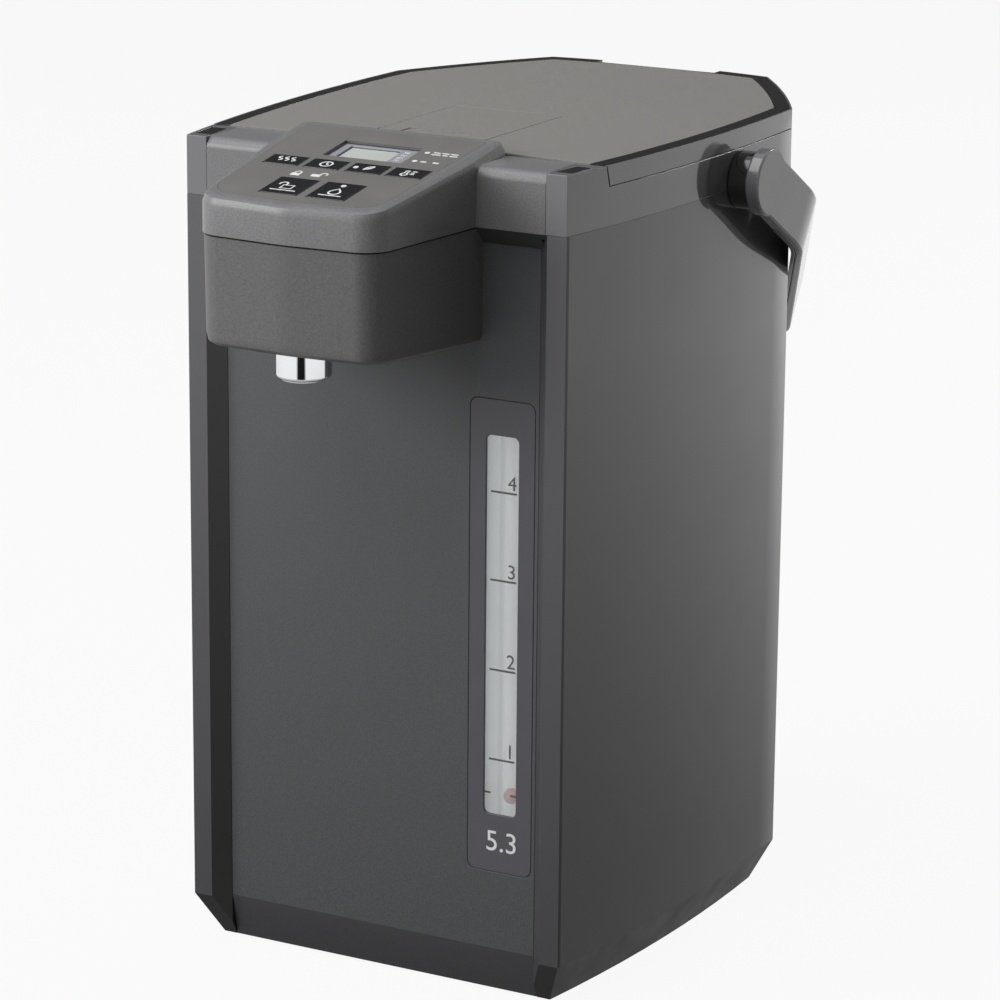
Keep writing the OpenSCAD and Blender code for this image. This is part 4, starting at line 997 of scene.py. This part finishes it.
# Dark cards, seen only by gloss or by matt surfaces. Each fades out between two
# distances from its middle; a card with a fade past its corners stays whole.
CARDS = [
    dict(name="card_rear", place=(-1.3, 2.4, 1.5), aim=(0, 0, 0.37),
         width=4.0, height=3.8, fade=(4, 5), brightness=0.06, gloss=True),
    dict(name="card_front", place=(0.103, -0.478, 0.204), aim=(0, -0.196, 0.204),
         width=0.24, height=0.24, fade=(0.07, 0.11), brightness=0.01, gloss=True),
    dict(name="card_side", place=(0.6, -0.35, 0.5), aim=(0, -0.35, 0.5),
         width=1.9, height=1.0, fade=(4, 5), brightness=0.01, gloss=False),
]

FLOOR_RADIUS = 8
FLOOR_GREY = 0.45

# How much of the floor is plain white to the rays that show the surroundings; the
# rest keeps the shadow
FLOOR_GLOW = 0.93

# The floor that gloss reflects: from one distance to another, from grey to white
POOL = (0.2, 1.3, 0.4, 1.0)

# Soft light of the surroundings on matt surfaces
SKY_COLOUR = (0.9, 0.93, 1)
SKY_STRENGTH = 0.16


def aimed(place, aim):
    """Turn of a lamp or a card that faces from place to aim."""
    return (Vector(aim) - Vector(place)).to_track_quat("-Z", "Y")


def new_graph(name):
    """A new material and its graph."""
    material = bpy.data.materials.new(name)
    material.use_nodes = True
    return material, Graph(material.node_tree)


class POT_OT_studio(PotOperator, bpy.types.Operator):
    """Sets up the floor, the lamps, the surroundings and the camera"""

    bl_idname = "pot.studio"
    bl_label = "Studio"

    def build(self, sizes, colours):
        self.set_floor()
        self.set_surroundings()
        for lamp in LAMPS:
            self.set_lamp(**lamp)
        for card in CARDS:
            self.set_card(**card)
        self.set_camera()
        bpy.context.scene.view_settings.view_transform = "Standard"

    def seen_share(self, graph):
        """1 for rays that show the surroundings: from the camera, gloss or glass."""
        camera, gloss, glass = (
            graph.node("ShaderNodeLightPath", {}, out=f"Is {kind} Ray")
            for kind in ("Camera", "Glossy", "Transmission")
        )
        return camera.most(gloss).most(glass)

    def pool(self, graph):
        """White, but darker for gloss near the pot, where the floor is in its shade."""
        reach = graph.node(
            "ShaderNodeVectorMath", {"operation": "LENGTH"}, graph.place(), out="Value"
        )
        gloss = graph.node("ShaderNodeLightPath", {}, out="Is Glossy Ray")
        return 1 - gloss * (1 - graph.ramp(reach, *POOL))

    def set_floor(self):
        shape = bmesh.new()
        bmesh.ops.create_circle(shape, cap_ends=True, segments=64, radius=FLOOR_RADIUS)
        mesh = bpy.data.meshes.new("floor")
        shape.to_mesh(mesh)
        shape.free()
        paper = Finish("floor_paper", (FLOOR_GREY,) * 3, 0.9, Specular_IOR_Level=0.0)
        white = paper.node("ShaderNodeEmission", {}, self.pool(paper))
        share = self.seen_share(paper) * FLOOR_GLOW
        matt = Wire(paper, paper.shader.outputs[0])
        paper.show("Material Output", paper.node("ShaderNodeMixShader", {}, share, matt, white))
        mesh.materials.append(paper.material)
        floor = bpy.data.objects.new("floor", mesh)
        bpy.context.scene.collection.objects.link(floor)

    def set_surroundings(self):
        world = bpy.data.worlds.new("surroundings")
        world.use_nodes = True
        graph = Graph(world.node_tree)
        sky = graph.node("ShaderNodeBackground", {}, (*SKY_COLOUR, 1), SKY_STRENGTH)
        white = graph.node("ShaderNodeBackground", {}, (1, 1, 1, 1))
        share = self.seen_share(graph)
        graph.show("World Output", graph.node("ShaderNodeMixShader", {}, share, sky, white))
        bpy.context.scene.world = world

    def set_lamp(self, name, place, aim, width, height, power, gloss):
        light = bpy.data.lights.new(name, "AREA")
        light.shape = "RECTANGLE"
        light.size = width
        light.size_y = height
        light.energy = power
        lamp = bpy.data.objects.new(name, light)
        lamp.location = place
        lamp.rotation_euler = aimed(place, aim).to_euler()
        lamp.visible_camera = False
        lamp.visible_glossy = gloss
        bpy.context.scene.collection.objects.link(lamp)

    def set_card(self, name, place, aim, width, height, fade, brightness, gloss):
        shape = bmesh.new()
        turned = aimed(place, aim).to_matrix().to_4x4()
        turned.translation = place
        bmesh.ops.create_grid(
            shape, x_segments=1, y_segments=1, size=0.5,
            matrix=turned @ Matrix.Diagonal((width, height, 1, 1)),
        )
        mesh = bpy.data.meshes.new(name)
        shape.to_mesh(mesh)
        shape.free()
        material, graph = new_graph(name + "_finish")
        dark = graph.node("ShaderNodeEmission", {}, (brightness, brightness, brightness, 1))
        reach = graph.node(
            "ShaderNodeVectorMath", {"operation": "DISTANCE"}, graph.place(), place, out="Value"
        )
        clear = graph.node("ShaderNodeBsdfTransparent", {})
        share = graph.ramp(reach, *fade)
        graph.show("Material Output", graph.node("ShaderNodeMixShader", {}, share, dark, clear))
        mesh.materials.append(material)
        card = bpy.data.objects.new(name, mesh)
        card.visible_camera = card.visible_shadow = card.visible_transmission = False
        card.visible_glossy = gloss
        card.visible_diffuse = not gloss
        bpy.context.scene.collection.objects.link(card)

    def set_camera(self):
        level = Vector((-sin(CAMERA_YAW), cos(CAMERA_YAW), 0)) * cos(CAMERA_PITCH)
        ahead = level - Vector((0, 0, sin(CAMERA_PITCH)))
        side = ahead.cross(Vector((0, 0, 1))).normalized()
        over = side.cross(ahead)
        right = cos(CAMERA_ROLL) * side + sin(CAMERA_ROLL) * over
        up = cos(CAMERA_ROLL) * over - sin(CAMERA_ROLL) * side
        turned = Matrix((right, up, -ahead)).transposed().to_4x4()
        turned.translation = CAMERA_PLACE
        view = bpy.data.cameras.new("camera")
        view.lens = CAMERA_LENS
        view.sensor_width = CAMERA_SENSOR
        view.clip_start = CAMERA_NEAR
        camera = bpy.data.objects.new("camera", view)
        camera.matrix_world = turned
        bpy.context.scene.collection.objects.link(camera)
        bpy.context.scene.camera = camera


OPERATORS = [
    POT_OT_finishes,
    POT_OT_case,
    POT_OT_base,
    POT_OT_shoulder,
    POT_OT_head,
    POT_OT_keys,
    POT_OT_display,
    POT_OT_spout,
    POT_OT_gauge,
    POT_OT_lid,
    POT_OT_handle,
    POT_OT_inside,
    POT_OT_studio,
]


class POT_PT_panel(bpy.types.Panel):
    """Lists the dresser's steps and settings"""

    bl_idname = "POT_PT_panel"
    bl_label = "Thermo Pot"
    bl_space_type = "VIEW_3D"
    bl_region_type = "UI"
    bl_category = "Thermo Pot"

    def draw(self, context):
        for operator in OPERATORS:
            self.layout.operator(operator.bl_idname)
        for group in (context.scene.pot_colours, context.scene.pot_sizes):
            for name in group.bl_rna.properties.keys():
                if name not in {"rna_type", "name"}:
                    self.layout.prop(group, name)


CLASSES = [PotColours, PotSizes, *OPERATORS, POT_PT_panel]


def register():
    for made in CLASSES:
        bpy.utils.register_class(made)
    bpy.types.Scene.pot_colours = bpy.props.PointerProperty(type=PotColours)
    bpy.types.Scene.pot_sizes = bpy.props.PointerProperty(type=PotSizes)


def unregister():
    del bpy.types.Scene.pot_sizes
    del bpy.types.Scene.pot_colours
    for made in reversed(CLASSES):
        bpy.utils.unregister_class(made)


def main():
    register()
    for operator in OPERATORS:
        group, name = operator.bl_idname.split(".")
        getattr(getattr(bpy.ops, group), name)()


if __name__ == "__main__":
    main()
